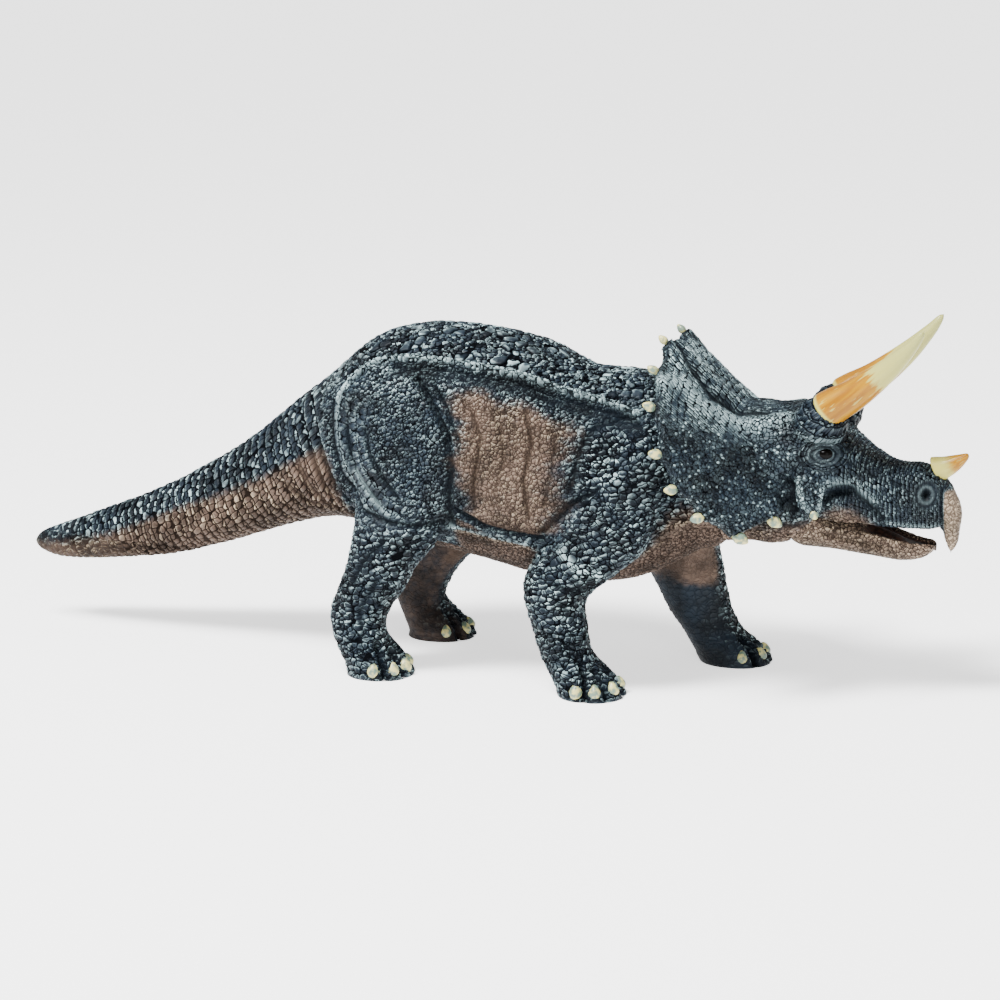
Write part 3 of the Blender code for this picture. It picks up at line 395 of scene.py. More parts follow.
def pulled_ball(rows, axes, origin, facets, squareness, grow=0.0):
    """A ball pulled out along a line of sections, and grown along its normals."""
    along, side, up = axes
    rings, segments = facets
    first, last = rows[0][0], rows[-1][0]
    bm = bmesh.new()
    bmesh.ops.create_uvsphere(bm, u_segments=segments, v_segments=rings, radius=1.0)
    sections = {}
    for vertex in bm.verts:
        lean = round(math.acos(max(-1.0, min(1.0, vertex.co.z))), 6)
        if lean not in sections:
            share = lean / math.pi - 0.55 * math.sin(2.0 * lean) / (2.0 * math.pi)
            place = first + (last - first) * share
            sections[lean] = [place, *row_at(rows, place)]
        place, shift, height, half_width, above, below = sections[lean]
        turn = math.atan2(vertex.co.y, vertex.co.x)
        across, rise = math.cos(turn), math.sin(turn)
        across = math.copysign(abs(across) ** (2.0 / squareness), across)
        rise = math.copysign(abs(rise) ** (2.0 / squareness), rise)
        reach = above if rise > 0.0 else below
        vertex.co = (
            origin + along * place
            + side * (shift + max(half_width, 0.0) * across)
            + up * (height + max(reach, 0.0) * rise)
        )
    bmesh.ops.remove_doubles(bm, verts=bm.verts, dist=1e-5)
    bmesh.ops.recalc_face_normals(bm, faces=bm.faces)
    bm.normal_update()
    for vertex in bm.verts:
        vertex.co = vertex.co + vertex.normal * grow
    return bm


def merged(parts):
    """Several closed shapes in one mesh."""
    whole = bmesh.new()
    scratch = bpy.data.meshes.new("scratch")
    for part in parts:
        part.to_mesh(scratch)
        whole.from_mesh(scratch)
        part.free()
    bpy.data.meshes.remove(scratch)
    return whole


def as_object(name, bm):
    """A mesh object made of a finished shape, at the origin."""
    mesh = bpy.data.meshes.new(name)
    bm.to_mesh(mesh)
    bm.free()
    return in_scene(name, mesh)


def applied(made):
    """Replace an object's mesh by what its modifiers make of it."""
    graph = bpy.context.evaluated_depsgraph_get()
    mesh = bpy.data.meshes.new_from_object(made.evaluated_get(graph), depsgraph=graph)
    old = made.data
    made.modifiers.clear()
    made.data = mesh
    bpy.data.meshes.remove(old)
    return made


# %% [markdown]
# ## One lump of clay
# On the real figure the body, tail and legs read as one sculpture. So the forms are put together
# and remeshed into a single even skin of about a third of a millimetre, as a sculptor blends
# clay, and smoothed a little so that the legs grow out of the trunk.

# %% Blocking out
BODY_VOXEL, HEAD_VOXEL, JAW_VOXEL = 0.00036, 0.00036, 0.00025


def clay(name, parts, voxel, rounds):
    """One even closed skin round several overlapping forms."""
    lump = as_object(name, merged(parts))
    remesh = lump.modifiers.new("Even skin", "REMESH")
    remesh.mode, remesh.voxel_size = "VOXEL", voxel
    smooth = lump.modifiers.new("Blend", "SMOOTH")
    smooth.factor, smooth.iterations = 0.5, rounds
    applied(lump)
    print(name, "has", len(lump.data.polygons), "faces")
    return lump


def trunk_form():
    """The body from the tail's tip to the neck."""
    rows = sized(BODY_SHARES, TRUNK_LENGTH, BODY_WIDTH, BACK_HEIGHT)
    return pulled_ball(rows, (FORWARD, LEFT, UP), TAIL_TIP, (150, 96), 2.15)


def leg_rows(name):
    """The sections of one leg."""
    _, shares, _, length, width, _ = LEGS[name]
    return sized(shares, BACK_HEIGHT, BODY_WIDTH, BACK_HEIGHT, (width, length))


def leg_form(name):
    """One leg from its seat to its sole."""
    side, _, seat, *_ = LEGS[name]
    origin = TAIL_TIP + FORWARD * seat * TRUNK_LENGTH
    return pulled_ball(leg_rows(name), (UP, LEFT * side, FORWARD), origin, (72, 56), 2.2)


def foot_at(name, height, turns):
    """A foot's middle at a height, and the ways to its edge at some turns, seen from above."""
    side, _, seat, *_ = LEGS[name]
    shift, forward, half_width, front, _ = row_at(leg_rows(name), height)
    middle = np.array([TAIL_TIP.x + seat * TRUNK_LENGTH + forward, side * shift])
    angles = [math.radians(turn) for turn in turns]
    return middle, [
        np.array([math.cos(angle) * front, math.sin(angle) * half_width * side])
        for angle in angles]


body = clay("body_clay", [trunk_form(), *[leg_form(name) for name in LEGS]], BODY_VOXEL, 8)

# %% [markdown]
# ## Working with arrays
# Sculpting a few hundred thousand points one by one is slow in Python, so a small class takes a
# mesh's points and normals as arrays in millimetres, moves them with whole-array sums, and
# keeps named masks. A stroke is what a modelling tool does: it presses a groove or raises a
# fold along a line of a few places.


# %% Sculpting tools
FOLD_DEPTH = 1.3


class Sculpture:
    """A mesh's points in millimetres, with tools that move them."""

    def __init__(self, made):
        self.mesh = made.data
        count = len(self.mesh.vertices)
        flat = np.empty(count * 3, dtype=np.float32)
        self.mesh.vertices.foreach_get("co", flat)
        self.points = flat.reshape(-1, 3) * 1000.0
        self.refresh()
        self.masks = {"hollow": np.zeros(count), "crest": np.zeros(count)}

    def refresh(self):
        """Read the normals again."""
        flat = np.empty(len(self.mesh.vertices) * 3, dtype=np.float32)
        self.mesh.vertex_normals.foreach_get("vector", flat)
        self.normals = flat.reshape(-1, 3)

    def write(self):
        """Put the moved points back."""
        self.mesh.vertices.foreach_set("co", (self.points / 1000.0).astype(np.float32).ravel())
        self.mesh.update()
        self.refresh()

    def snapped(self, line):
        """A line of places, drawn on to the nearest points of the skin."""
        places = []
        for start, end in zip(line[:-1], line[1:]):
            places.extend(np.linspace(start, end, max(2, int(math.dist(start, end) / 1.5) + 1)))
        nearest = [np.argmin(np.sum((self.points - place) ** 2, axis=1)) for place in places]
        return self.points[nearest]

    def on_the_right(self):
        """The points, with those of the left side mirrored to the right."""
        points = self.points.copy()
        points[:, 1] = -np.abs(points[:, 1])
        return points

    def from_line(self, line, both_sides, reach):
        """Each point's distance from a line of places, in millimetres, as far as a reach."""
        points = self.on_the_right() if both_sides else self.points
        low, high = np.min(line, axis=0) - reach, np.max(line, axis=0) + reach
        near = np.flatnonzero(np.all((points > low) & (points < high), axis=1))
        nearest = np.full(len(near), reach ** 2)
        for start, end in zip(line[:-1], line[1:]):
            run = np.subtract(end, start)
            share = np.clip((points[near] - start) @ run / max(run @ run, 1e-9), 0.0, 1.0)
            gap = points[near] - start - share[:, None] * run
            nearest = np.minimum(nearest, np.einsum("ij,ij->i", gap, gap))
        distance = np.full(len(points), float(reach))
        distance[near] = np.sqrt(nearest)
        return distance

    def stroke(self, line, width, height, both_sides=True):
        """Raise a fold, or press a groove where the height is below zero."""
        distance = self.from_line(self.snapped(line), both_sides, 4.0 * width)
        self.press(np.exp(-(distance / width) ** 2), height, FOLD_DEPTH, 2.0)

    def ring(self, centre, stretch, radius, width, height):
        """Raise or press a ring of skin round a place, the same on both sides."""
        offset = self.on_the_right().astype(float) - centre
        distance = np.linalg.norm(offset * stretch, axis=1)
        self.press(np.exp(-((distance - radius) / width) ** 2), height, 1.0, 1.6)

    def press(self, strength, height, depth, gain):
        """Move the skin by a strength at each point, and note it in a mask."""
        self.points += self.normals * (strength * height * depth)[:, None]
        name = "crest" if height > 0.0 else "hollow"
        marked = strength * min(1.0, abs(height) * gain)
        self.masks[name] = np.maximum(self.masks[name], marked)

    def store(self):
        """Keep the points and the masks as attributes of the mesh."""
        self.keep("rest", self.points / 1000.0)
        for name, values in self.masks.items():
            self.keep(name, values)

    def keep(self, name, values):
        """Keep one array as an attribute."""
        flat = np.ascontiguousarray(values, dtype=np.float32)
        kind, word = ("FLOAT_VECTOR", "vector") if flat.ndim == 2 else ("FLOAT", "value")
        self.mesh.attributes.new(name, kind, "POINT").data.foreach_set(word, flat.ravel())


def soft(values, low, high):
    """A soft step of an array between two limits."""
    share = np.clip((values - low) / (high - low), 0.0, 1.0)
    return share * share * (3.0 - 2.0 * share)


def fade(values, low, high):
    """A soft step down from 1 to 0 between two limits."""
    return 1.0 - soft(values, low, high)


# %% [markdown]
# ## Folds of the body
# The skin hangs in folds: a plated ridge along the back's edge with a hollow under it, a straight
# groove over the hip, folds round the back of the thigh, the flank's edge and the belly's fold,
# and grooves between the toes. Each is a stroke through a few places, the same on both sides.

# %% Sculpt the body
RIDGE = [
    (-25, -16, 60), (-21.5, -14.5, 65), (-17.5, -13.7, 68), (-12.5, -14, 69.5), (-2, -14.7, 69.8),
    (5, -15.1, 69.1), (11, -15.2, 68.3), (18, -14.6, 67), (28, -13.2, 64), (35, -13.4, 62.5),
    (42, -14.5, 60.6),
]
RIDGE_END = [
    (-25, -16, 60), (-24.5, -18.2, 55.5), (-23, -19.7, 49.8), (-21, -20.2, 44),
    (-16.5, -22.5, 38.5),
]
skin = Sculpture(body)
skin.stroke([(x, y - 2.0, z - 3.0) for x, y, z in RIDGE[3:]], 1.5, -0.45)
skin.stroke([(x, y - 1.0, z - 1.4) for x, y, z in RIDGE[3:]], 0.8, -1.0)
skin.stroke(RIDGE, 0.5, 0.85)
skin.stroke(RIDGE_END, 0.5, 0.15)
skin.stroke([(x - 2.2, y + 0.8, z) for x, y, z in RIDGE_END], 0.8, -0.6)
# Each fold's width, its height, and places on the right side, in millimetres
FOLDS = (
    (0.65, -1.3, (-6.5, -17.8, 66.5), (-2.7, -20.2, 62), (0.7, -22.3, 57.5), (2.2, -22.9, 54)),
    (0.5, -0.7, (-3.2, -18.2, 66.8), (1.2, -21, 61), (4.4, -22.9, 54.5)),
    (1.0, -0.9, (2.2, -22.9, 54), (2.9, -23.5, 48), (2.1, -22.5, 41.2), (1.7, -20.1, 35.8)),
    (0.7, -0.7, (-35, -11, 46.8), (-29, -11.5, 38.6), (-22, -12, 35)),
    (0.7, -0.8, (-30.7, -12, 48), (-26.3, -13, 40.9), (-21.8, -14, 36)),
    (0.6, -0.6, (-37, -11, 40.1), (-30.3, -11.5, 36.3), (-21.4, -12, 34.6)),
    (0.7, -0.8, (-28.1, -14, 49.5), (-25.4, -15, 44), (-22.7, -16, 38.2)),
    (0.6, -0.6, (-17.4, -21.2, 55), (-15.6, -22.4, 50), (-12.5, -23.4, 45), (-8.8, -23.8, 40.7)),
    (0.6, -0.6, (-22, -19.6, 55), (-20.5, -20.4, 48.3), (-17.6, -22, 44), (-13, -23.5, 39)),
    (0.7, 0.2, (-19, -20.9, 46), (-15.5, -22.6, 41), (-11, -23.8, 37.6)),
    (0.8, -0.6, (-17.3, -21.9, 37.4), (-10.6, -23.9, 35.5), (-5.4, -23, 35), (-0.3, -19.7, 35.6)),
    (0.8, -0.8, (3.2, -21.7, 39), (10, -21, 35.8), (17.6, -20.9, 34.6), (22.3, -20.2, 33.9)),
    (0.8, 0.2, (1.4, -19.4, 34.6), (8.5, -19.6, 33.4), (15.3, -19.8, 32.4), (20.5, -19.2, 31.6)),
    (0.8, -0.8, (22.5, -20.9, 35.4), (28.8, -21.3, 41.6), (34.5, -21.4, 45.5)),
    (1.0, -0.5, (28.9, -21.7, 45.1), (30.6, -20.3, 53.5), (33.2, -17.4, 58.2),
     (37.7, -15.1, 59.8)),
    (0.5, -0.5, (7.4, -22, 60), (9.7, -22.7, 55), (8.4, -23.8, 48.5), (7.9, -22.5, 39.5)),
    (0.5, -0.5, (18.4, -19.6, 61), (20.6, -22, 54), (19.2, -23.3, 47), (20, -22.8, 39)),
    (0.45, -0.35, (13.5, -22.6, 58), (14.8, -23.8, 51), (13.0, -23.6, 44)),
    (0.45, -0.35, (25.4, -20.6, 57), (25.0, -22.4, 49), (23.4, -22.6, 41)),
)
for width, height, *line in FOLDS:
    skin.stroke(line, width, height)
# Folds of the right side alone, which strides another way
FOLDS_RIGHT = (
    (0.7, -0.6, (26.5, -24.6, 24.6), (29.9, -23.8, 23.7), (33, -21.5, 24.2)),
    (0.8, 0.5, (27.5, -23.5, 32), (31, -24.4, 29), (36, -22.5, 27.8)),
    (0.8, -0.5, (-20, -23, 22), (-17, -24, 27), (-12, -24, 31)),
    (0.7, -0.4, (-17.5, -22, 9), (-18, -23.4, 15), (-14, -24, 22)),
)
for width, height, *line in FOLDS_RIGHT:
    skin.stroke(line, width, height, False)

# %% Toes
TOE_HEIGHT, ANKLE_SHARE = 0.0034, 0.80
for name, (*_, nails) in LEGS.items():
    between = [(first + second) / 2.0 for first, second in zip(nails[:-1], nails[1:])]
    centre, reaches = foot_at(name, TOE_HEIGHT, between)
    for reach in reaches:
        foot, ankle = ((centre + reach * share) * 1000.0 for share in (1.0, ANKLE_SHARE))
        skin.stroke([(*foot, 0.5), (*foot, 3.0), (*ankle, 8.5)], 0.8, -1.5, False)
skin.points[:, 2] = np.maximum(skin.points[:, 2], 0.0)
skin.write()
print("body sculpted:", len(skin.points), "points")

# %% [markdown]
# ## Where each kind of scale grows
# A mould maker carves a different scale on each part: blocks in rings round the tail, coarse
# pebbles on the back, shoulders and legs, a fine net on thighs and flanks. Soft masks say where
# each kind is, where the paint is tan, and where it is brushed pale, more on skin that faces up as
# painted highlight. They also say where painted shade darkens it: in the grooves, along with the
# dark coat, and under the belly, on the legs' inner sides and behind the frill. They are kept as
# attributes of the mesh, for the relief and for the paint alike.

# %% Masks of the body
PLACES = np.linspace(0.0, 1.0, 200)
SPINE = np.array([row_at(BODY_SHARES, place)[1] for place in PLACES]) * BACK_HEIGHT * 1000.0
HALF_WIDTH = np.array([row_at(BODY_SHARES, place)[2] for place in PLACES]) * BODY_WIDTH * 1000.0


def spine_at(x):
    """The height of the trunk's widest line, in millimetres."""
    place = (x / 1000.0 - TAIL_TIP.x) / TRUNK_LENGTH
    return np.interp(place, PLACES, SPINE) + TAIL_TIP.z * 1000.0


def ring_grid(x, y, rise, slope, first, growth, block):
    """Counts of rings along a limb and of blocks round it, which make a brick-like grid."""
    run = x + rise * slope - TAIL_TIP.x * 1000.0
    rings = np.log1p(np.maximum(run, 0.0) * growth / first) / growth
    girth = np.interp((x / 1000.0 - TAIL_TIP.x) / TRUNK_LENGTH, PLACES, HALF_WIDTH)
    blocks = np.arctan2(y, rise) * girth / block
    return np.stack([rings, blocks, np.zeros_like(rings)], axis=1)


RING_FIRST, RING_GROWTH, RING_BLOCK, THIGH = 1.5, 0.0115, 1.7, (-2, 56)
x, y, z = skin.points.T
rise = z - spine_at(x)
slope = (spine_at(x + 2) - spine_at(x - 2)) / 4
ring = fade(x + rise * 0.25, -30, -24)
ring *= 1 - soft(x, -36, -33) * fade(z, 31, 36)
tail_grid = ring_grid(x, y, rise, slope * 0.8, RING_FIRST, RING_GROWTH, RING_BLOCK)
from_thigh = np.hypot(x - THIGH[0], z - THIGH[1])
round_thigh = np.arctan2(z - THIGH[1], THIGH[0] - x)
thigh_grid = np.stack([(from_thigh - 15.2) / 2.4, round_thigh * 20 / 1.5, 0 * x], axis=1)
thigh = soft(from_thigh, 13.6, 15.6) * fade(from_thigh, 23, 24.5) * (x > -29)
ridge_line = skin.snapped(RIDGE)
from_ridge = skin.from_line(ridge_line, True, 6)
plates = fade(from_ridge, 0.6, 0.9) * (x > -21)
ridge_grid = np.stack([x / 1.3, from_ridge / 2 + 0.5, 1 + 0 * x], axis=1)
thigh *= soft(round_thigh, -1.35, -1.1) * fade(round_thigh, 0.1, 0.5) * (np.abs(y) > 12)
grid = np.where((thigh > 0)[:, None], thigh_grid, tail_grid)
skin.keep("grid", np.where((plates > 0)[:, None], ridge_grid, grid))
groove = 0.5 - np.abs(tail_grid[:, 0] % 1 - 0.5)
groove = np.exp(-(groove / 0.16) ** 2) * ring * soft(x, -107, -100)
skin.points -= skin.normals * (0.3 * groove)[:, None]
skin.write()
outward = skin.normals[:, 1] * np.sign(y)
lift = 3 * soft(x, -95, -60)
under = fade(rise, lift - 2.5, lift + 3.5)
sway = x + 1.2 * np.sin(z * 0.42) + 0.7 * np.sin(z * 1.15 + 1)
lean_in = 0.15 * (z - 50)
flank = soft(sway + lean_in, 0, 9) * fade(sway - lean_in, 20, 35)
flank *= soft(z - np.interp(x, (3.2, 10, 17.6, 22.3), (39, 35.8, 34.6, 33.9)), -0.5, 2)
ridge_height = np.interp(x, [place[0] for place in RIDGE], [place[2] for place in RIDGE])
flank *= fade(z - ridge_height + 0.04 * x + 0.6 * np.sin(x * 0.6), -7, -1.5)
belly = soft(-skin.normals[:, 2], 0.15, 0.6) * soft(z, 16, 22) * fade(z, 36, 40)
belly *= np.maximum(soft(x, 0, 4), np.abs(y) < 14)
belly *= 1 - soft(x, 18, 23) * soft(np.abs(y), 11, 15)
chest = soft(x, 40, 50) * fade(z, 38, 46) * soft(z, 16, 20)
inner = soft(-outward, 0, 0.6) * fade(z, 26, 34)
inner *= fade(np.abs(y), 13, 17)
back = soft(z, 60, 66) * (x > -30)
limb = fade(z, 30, 40)
shoulder = soft(x, 26, 33) * fade(z, 58, 62)
skin.masks["ring"] = np.maximum(np.maximum(ring, thigh * 0.65), plates)
skin.masks["plate"] = back * soft(z - ridge_height, -0.5, 1)
paled = chest * fade(np.abs(y), 12, 18)
paled += inner * np.where(x < 12, 0.62, soft(z, 15, 24))
skin.masks["tan"] = np.clip(under * ring + 0.88 * flank + belly * 0.8 + paled * 0.8, 0, 1)
skin.masks["coarse"] = np.clip(limb + shoulder, 0, 1) * (1 - belly) * (1 - inner)
hollow = skin.masks["hollow"]
# Pale dry-brushing marks: more on the back and on skin that faces up, fewer on the belly and the
# legs' inner sides. This is partly painted highlight and painted shade from the light above.
skin.masks["brush_and_highlight"] = (1 - 0.95 * hollow) * np.clip(
    0.50 + 0.45 * back + 0.3 * skin.masks["crest"] + 0.25 * skin.normals[:, 2]
    + 0.25 * under * ring - 0.5 * inner - 0.35 * belly, 0, 1)
ends = np.maximum(fade(x, -106, -90), fade(z, 0.2, 0.8))
ends = np.maximum(ends, 0.8 * fade(x, -92, -78) * fade(rise, -1.5, 1.5))
# Painted shadow of the frill on the shoulder behind it.
frill_shadow = soft(x, 38, 46) * soft(z, 40, 46)
skin.masks["smooth"] = np.max([ends, 0.3 * flank, 0.9 * inner, 0.8 * hollow], axis=0)
# Painted shade on the legs' inner sides and under the belly, and the frill's painted shadow,
# darken the paint as the grooves do.
shade = inner * np.where(x < 12, 0.45, 0.05)
skin.masks["hollow"] = np.max([hollow, shade, 0.45 * belly, 0.45 * frill_shadow], axis=0)
skin.store()

# %% [markdown]
# ## The scale pattern
# One function makes a scale pattern from a place: Voronoi cells give each place its distance from
# the nearest groove, a number of its scale's own, and how far up the scale it lies. It works in a
# geometry tree, where it moves the points, and in a shader tree, where it places the paint and
# sharpens the relief, so the grooves of the shape and the black lines of the paint fall together.
# Scale sizes are the real ones: about 1.4 mm on the limbs, 0.9 mm on the thighs and flanks, and
# up to 2.7 mm for the plates of the back.

# %% Pattern
COARSE_SCALE, FINE_SCALE, PIMPLE_SCALE, CRINKLE_SIZE = 0.00140, 0.00085, 0.00120, 0.0020
PLATE_SCALE, PLATE_SHARE = 0.0027, 0.28
# The side of each scale toward the light above and the dry brush: pale marks fall there, partly as
# painted highlight, and the other side is painted darker as shade.
LIT_AND_BRUSHED_SIDE, RING_LIT_AND_BRUSHED_SIDE = (-0.5, 0.0, 0.87), (-0.9, 0.0, 0.0)
RELIEF_EDGE, PAINT_EDGE = 0.22, 0.17


def vectors(tree, operation, *values):
    """The result of one sum on vectors, or of a dot product."""
    node = add(tree, "ShaderNodeVectorMath", {"operation": operation}, dict(enumerate(values)))
    return node.outputs["Value" if operation == "DOT_PRODUCT" else "Vector"]


def drifted(tree, where, size, drift):
    """A place counted in cells of a size, moved about a little so that no cell is regular."""
    counted = vectors(tree, "MULTIPLY", where, (1.0 / size,) * 3)
    noise = add(tree, "ShaderNodeTexNoise", None, {"Vector": counted, "Scale": 0.9, "Detail": 1.0})
    centred = vectors(tree, "SUBTRACT", noise.outputs["Color"], (0.5, 0.5, 0.5))
    return vectors(tree, "MULTIPLY_ADD", centred, (drift, drift, drift), counted)


def scales(tree, counted, side, reach, flat=False, randomness=1.0):
    """Each place's distance from a groove, its scale's own number, and how far up it lies."""
    settings = {"voronoi_dimensions": "2D" if flat else "3D"}
    inputs = {"Vector": counted, "Scale": 1.0, "Randomness": randomness}
    edge = add(tree, "ShaderNodeTexVoronoi", {**settings, "feature": "DISTANCE_TO_EDGE"}, inputs)
    scale = add(tree, "ShaderNodeTexVoronoi", settings, inputs)
    offset = vectors(tree, "SUBTRACT", counted, scale.outputs["Position"])
    chance = axis_of(tree, scale.outputs["Color"], "X")
    corner = maths(tree, "SUBTRACT", reach, scale.outputs["Distance"])
    depth = maths(tree, "MINIMUM", edge.outputs["Distance"], corner)
    return depth, chance, vectors(tree, "DOT_PRODUCT", offset, side)


def wrinkled(tree, made, place, size, slope, least):
    """Scales that winding wrinkles of a size cut across."""
    depth, chance, up = made
    middle = maths(tree, "SUBTRACT", noise_at(tree, place, size, 1.0), 0.5)
    wrinkle = maths(tree, "MULTIPLY_ADD", maths(tree, "ABSOLUTE", middle), slope, least)
    return maths(tree, "MINIMUM", depth, wrinkle), chance, up


def fine_scales(tree, read):
    """Small scales, broken by winding wrinkles."""
    place = read("rest", True)
    made = scales(tree, drifted(tree, place, FINE_SCALE, 0.9), LIT_AND_BRUSHED_SIDE, 0.92)
    return wrinkled(tree, made, place, CRINKLE_SIZE, 3.5, 0.02)


def coarse_scales(tree, read):
    """Flattened pebbles of the limbs, broken by winding wrinkles."""
    place = vectors(tree, "MULTIPLY", read("rest", True), (0.85, 0.85, 1.2))
    made = scales(tree, drifted(tree, place, COARSE_SCALE, 0.9), LIT_AND_BRUSHED_SIDE, 0.82)
    return wrinkled(tree, made, place, CRINKLE_SIZE * 1.5, 4.0, 0.0)


def plate_scales(tree, read):
    """Small pebbles of the back, with some large plates among them."""
    place = read("rest", True)
    small = scales(tree, drifted(tree, place, FINE_SCALE * 1.35, 0.8), LIT_AND_BRUSHED_SIDE, 0.78)
    large = scales(tree, drifted(tree, place, PLATE_SCALE, 0.9), LIT_AND_BRUSHED_SIDE, 0.66)
    share = step(tree, large[1], 1.0 - PLATE_SHARE, 1.01 - PLATE_SHARE)
    return [mix(tree, share, first, second) for first, second in zip(small, large)]


def ring_scales(tree, read):
    """Blocks in rows, with a groove between two rows unless the grid's third number is 1."""
    grid = read("grid", True)
    counted = drifted(tree, grid, 1.0, 0.4)
    depth, chance, up = scales(tree, counted, RING_LIT_AND_BRUSHED_SIDE, 0.64, True, 0.55)
    count = maths(tree, "FRACT", axis_of(tree, counted, "X"))
    from_middle = maths(tree, "ABSOLUTE", maths(tree, "SUBTRACT", count, 0.5))
    groove = maths(tree, "SUBTRACT", 0.49, from_middle)
    free = maths(tree, "ADD", groove, axis_of(tree, grid, "Z"))
    return maths(tree, "MINIMUM", depth, free), chance, up


def pimple_scales(tree, read):
    """Round dots that stand apart."""
    place = drifted(tree, read("rest", True), PIMPLE_SCALE, 0.4)
    inputs = {"Vector": place, "Scale": 1.0, "Randomness": 0.6}
    spot = add(tree, "ShaderNodeTexVoronoi", None, inputs)
    offset = vectors(tree, "SUBTRACT", place, spot.outputs["Position"])
    depth = maths(tree, "SUBTRACT", 0.29, spot.outputs["Distance"])
    between = maths(tree, "MINIMUM", fine_scales(tree, read)[0], 0.13)
    up = maths(tree, "ADD", vectors(tree, "DOT_PRODUCT", offset, LIT_AND_BRUSHED_SIDE), 0.3)
    dot = step(tree, depth, 0.0, 0.05)
    up, chance = mix(tree, dot, -0.05, up), mix(tree, dot, 0.5, 1.0)
    return maths(tree, "MAXIMUM", depth, between), chance, up


KINDS = {
    "fine": fine_scales, "coarse": coarse_scales, "plate": plate_scales, "pimple": pimple_scales,
    "ring": ring_scales,
}


def hide_pattern(tree, read, kinds):
    """The pattern of a hide with some kinds of scale, each where its mask says."""
    made = KINDS[kinds[0]](tree, read)
    for kind in kinds[1:]:
        more = KINDS[kind](tree, read)
        made = [mix(tree, read(kind), first, second) for first, second in zip(made, more)]
    return made


def dome(tree, depth, edge):
    """The height of a pillow-shaped scale, 0 in the groove and 1 on its top."""
    down = maths(tree, "SUBTRACT", 1.0, maths(tree, "CLAMP_DIVIDE", depth, edge))
    return maths(tree, "SUBTRACT", 1.0, product(tree, down, down))


def relief(made, kinds, amount):
    """Move the skin out over each scale and in at each groove."""
    tree = bpy.data.node_groups.new("scale_relief", "GeometryNodeTree")
    for word in ("INPUT", "OUTPUT"):
        tree.interface.new_socket("Geometry", in_out=word, socket_type="NodeSocketGeometry")

    def read(name, vector=False):
        kind = {"data_type": "FLOAT_VECTOR" if vector else "FLOAT"}
        named = add(tree, "GeometryNodeInputNamedAttribute", kind, {"Name": name})
        return named.outputs["Attribute"]

    depth, chance, _ = hide_pattern(tree, read, kinds)
    size = maths(tree, "MULTIPLY_ADD", chance, 0.7, 0.6)
    tall = product(tree, dome(tree, depth, RELIEF_EDGE), size)
    shift = product(tree, maths(tree, "SUBTRACT", tall, 0.75), amount)
    kept = maths(tree, "MULTIPLY_ADD", read("hollow"), -0.7, 1.0)
    kept = product(tree, kept, maths(tree, "SUBTRACT", 1.0, read("smooth")))
    normal = add(tree, "GeometryNodeInputNormal").outputs[0]
    inputs = {0: normal, "Scale": product(tree, shift, kept)}
    offset = add(tree, "ShaderNodeVectorMath", {"operation": "SCALE"}, inputs).outputs[0]
    start = add(tree, "NodeGroupInput").outputs[0]
    moved = add(tree, "GeometryNodeSetPosition", None, {"Geometry": start, "Offset": offset})
    add(tree, "NodeGroupOutput", None, {0: moved.outputs[0]})
    modifier = made.modifiers.new("Scales", "NODES")
    modifier.node_group = tree
    applied(made)


# %% [markdown]
# ## The painted hide
# The moulding is soft vinyl under acrylic paint. Painters of such figures lay a dark coat that
# stays black in the grooves, a slate or tan coat over it, and then drag an almost dry pale brush
# over the top. The material does the same three steps, from the same pattern as the relief, and
# paints light and shade from a light above into them. The pale marks fall only on the upper edges
# of the scales, partly as painted highlight, and each scale's lower side is painted darker as
# shade.
# The grooves are painted dark, partly as dark coat and partly as painted shade, and the belly, the
# legs' inner sides and the skin behind the frill get painted shade. Acrylic on vinyl is satin, so
# the roughness is middling.

# %% Paints
SLATE = ("#010204", "#0b131a", "#1a2631", "#b2cccf")
TAN = ("#150f0b", "#40332a", "#6a574b", "#ac9a82")
PAINT_ROUGHNESS, GROOVE_ROUGHNESS = 0.40, 0.75


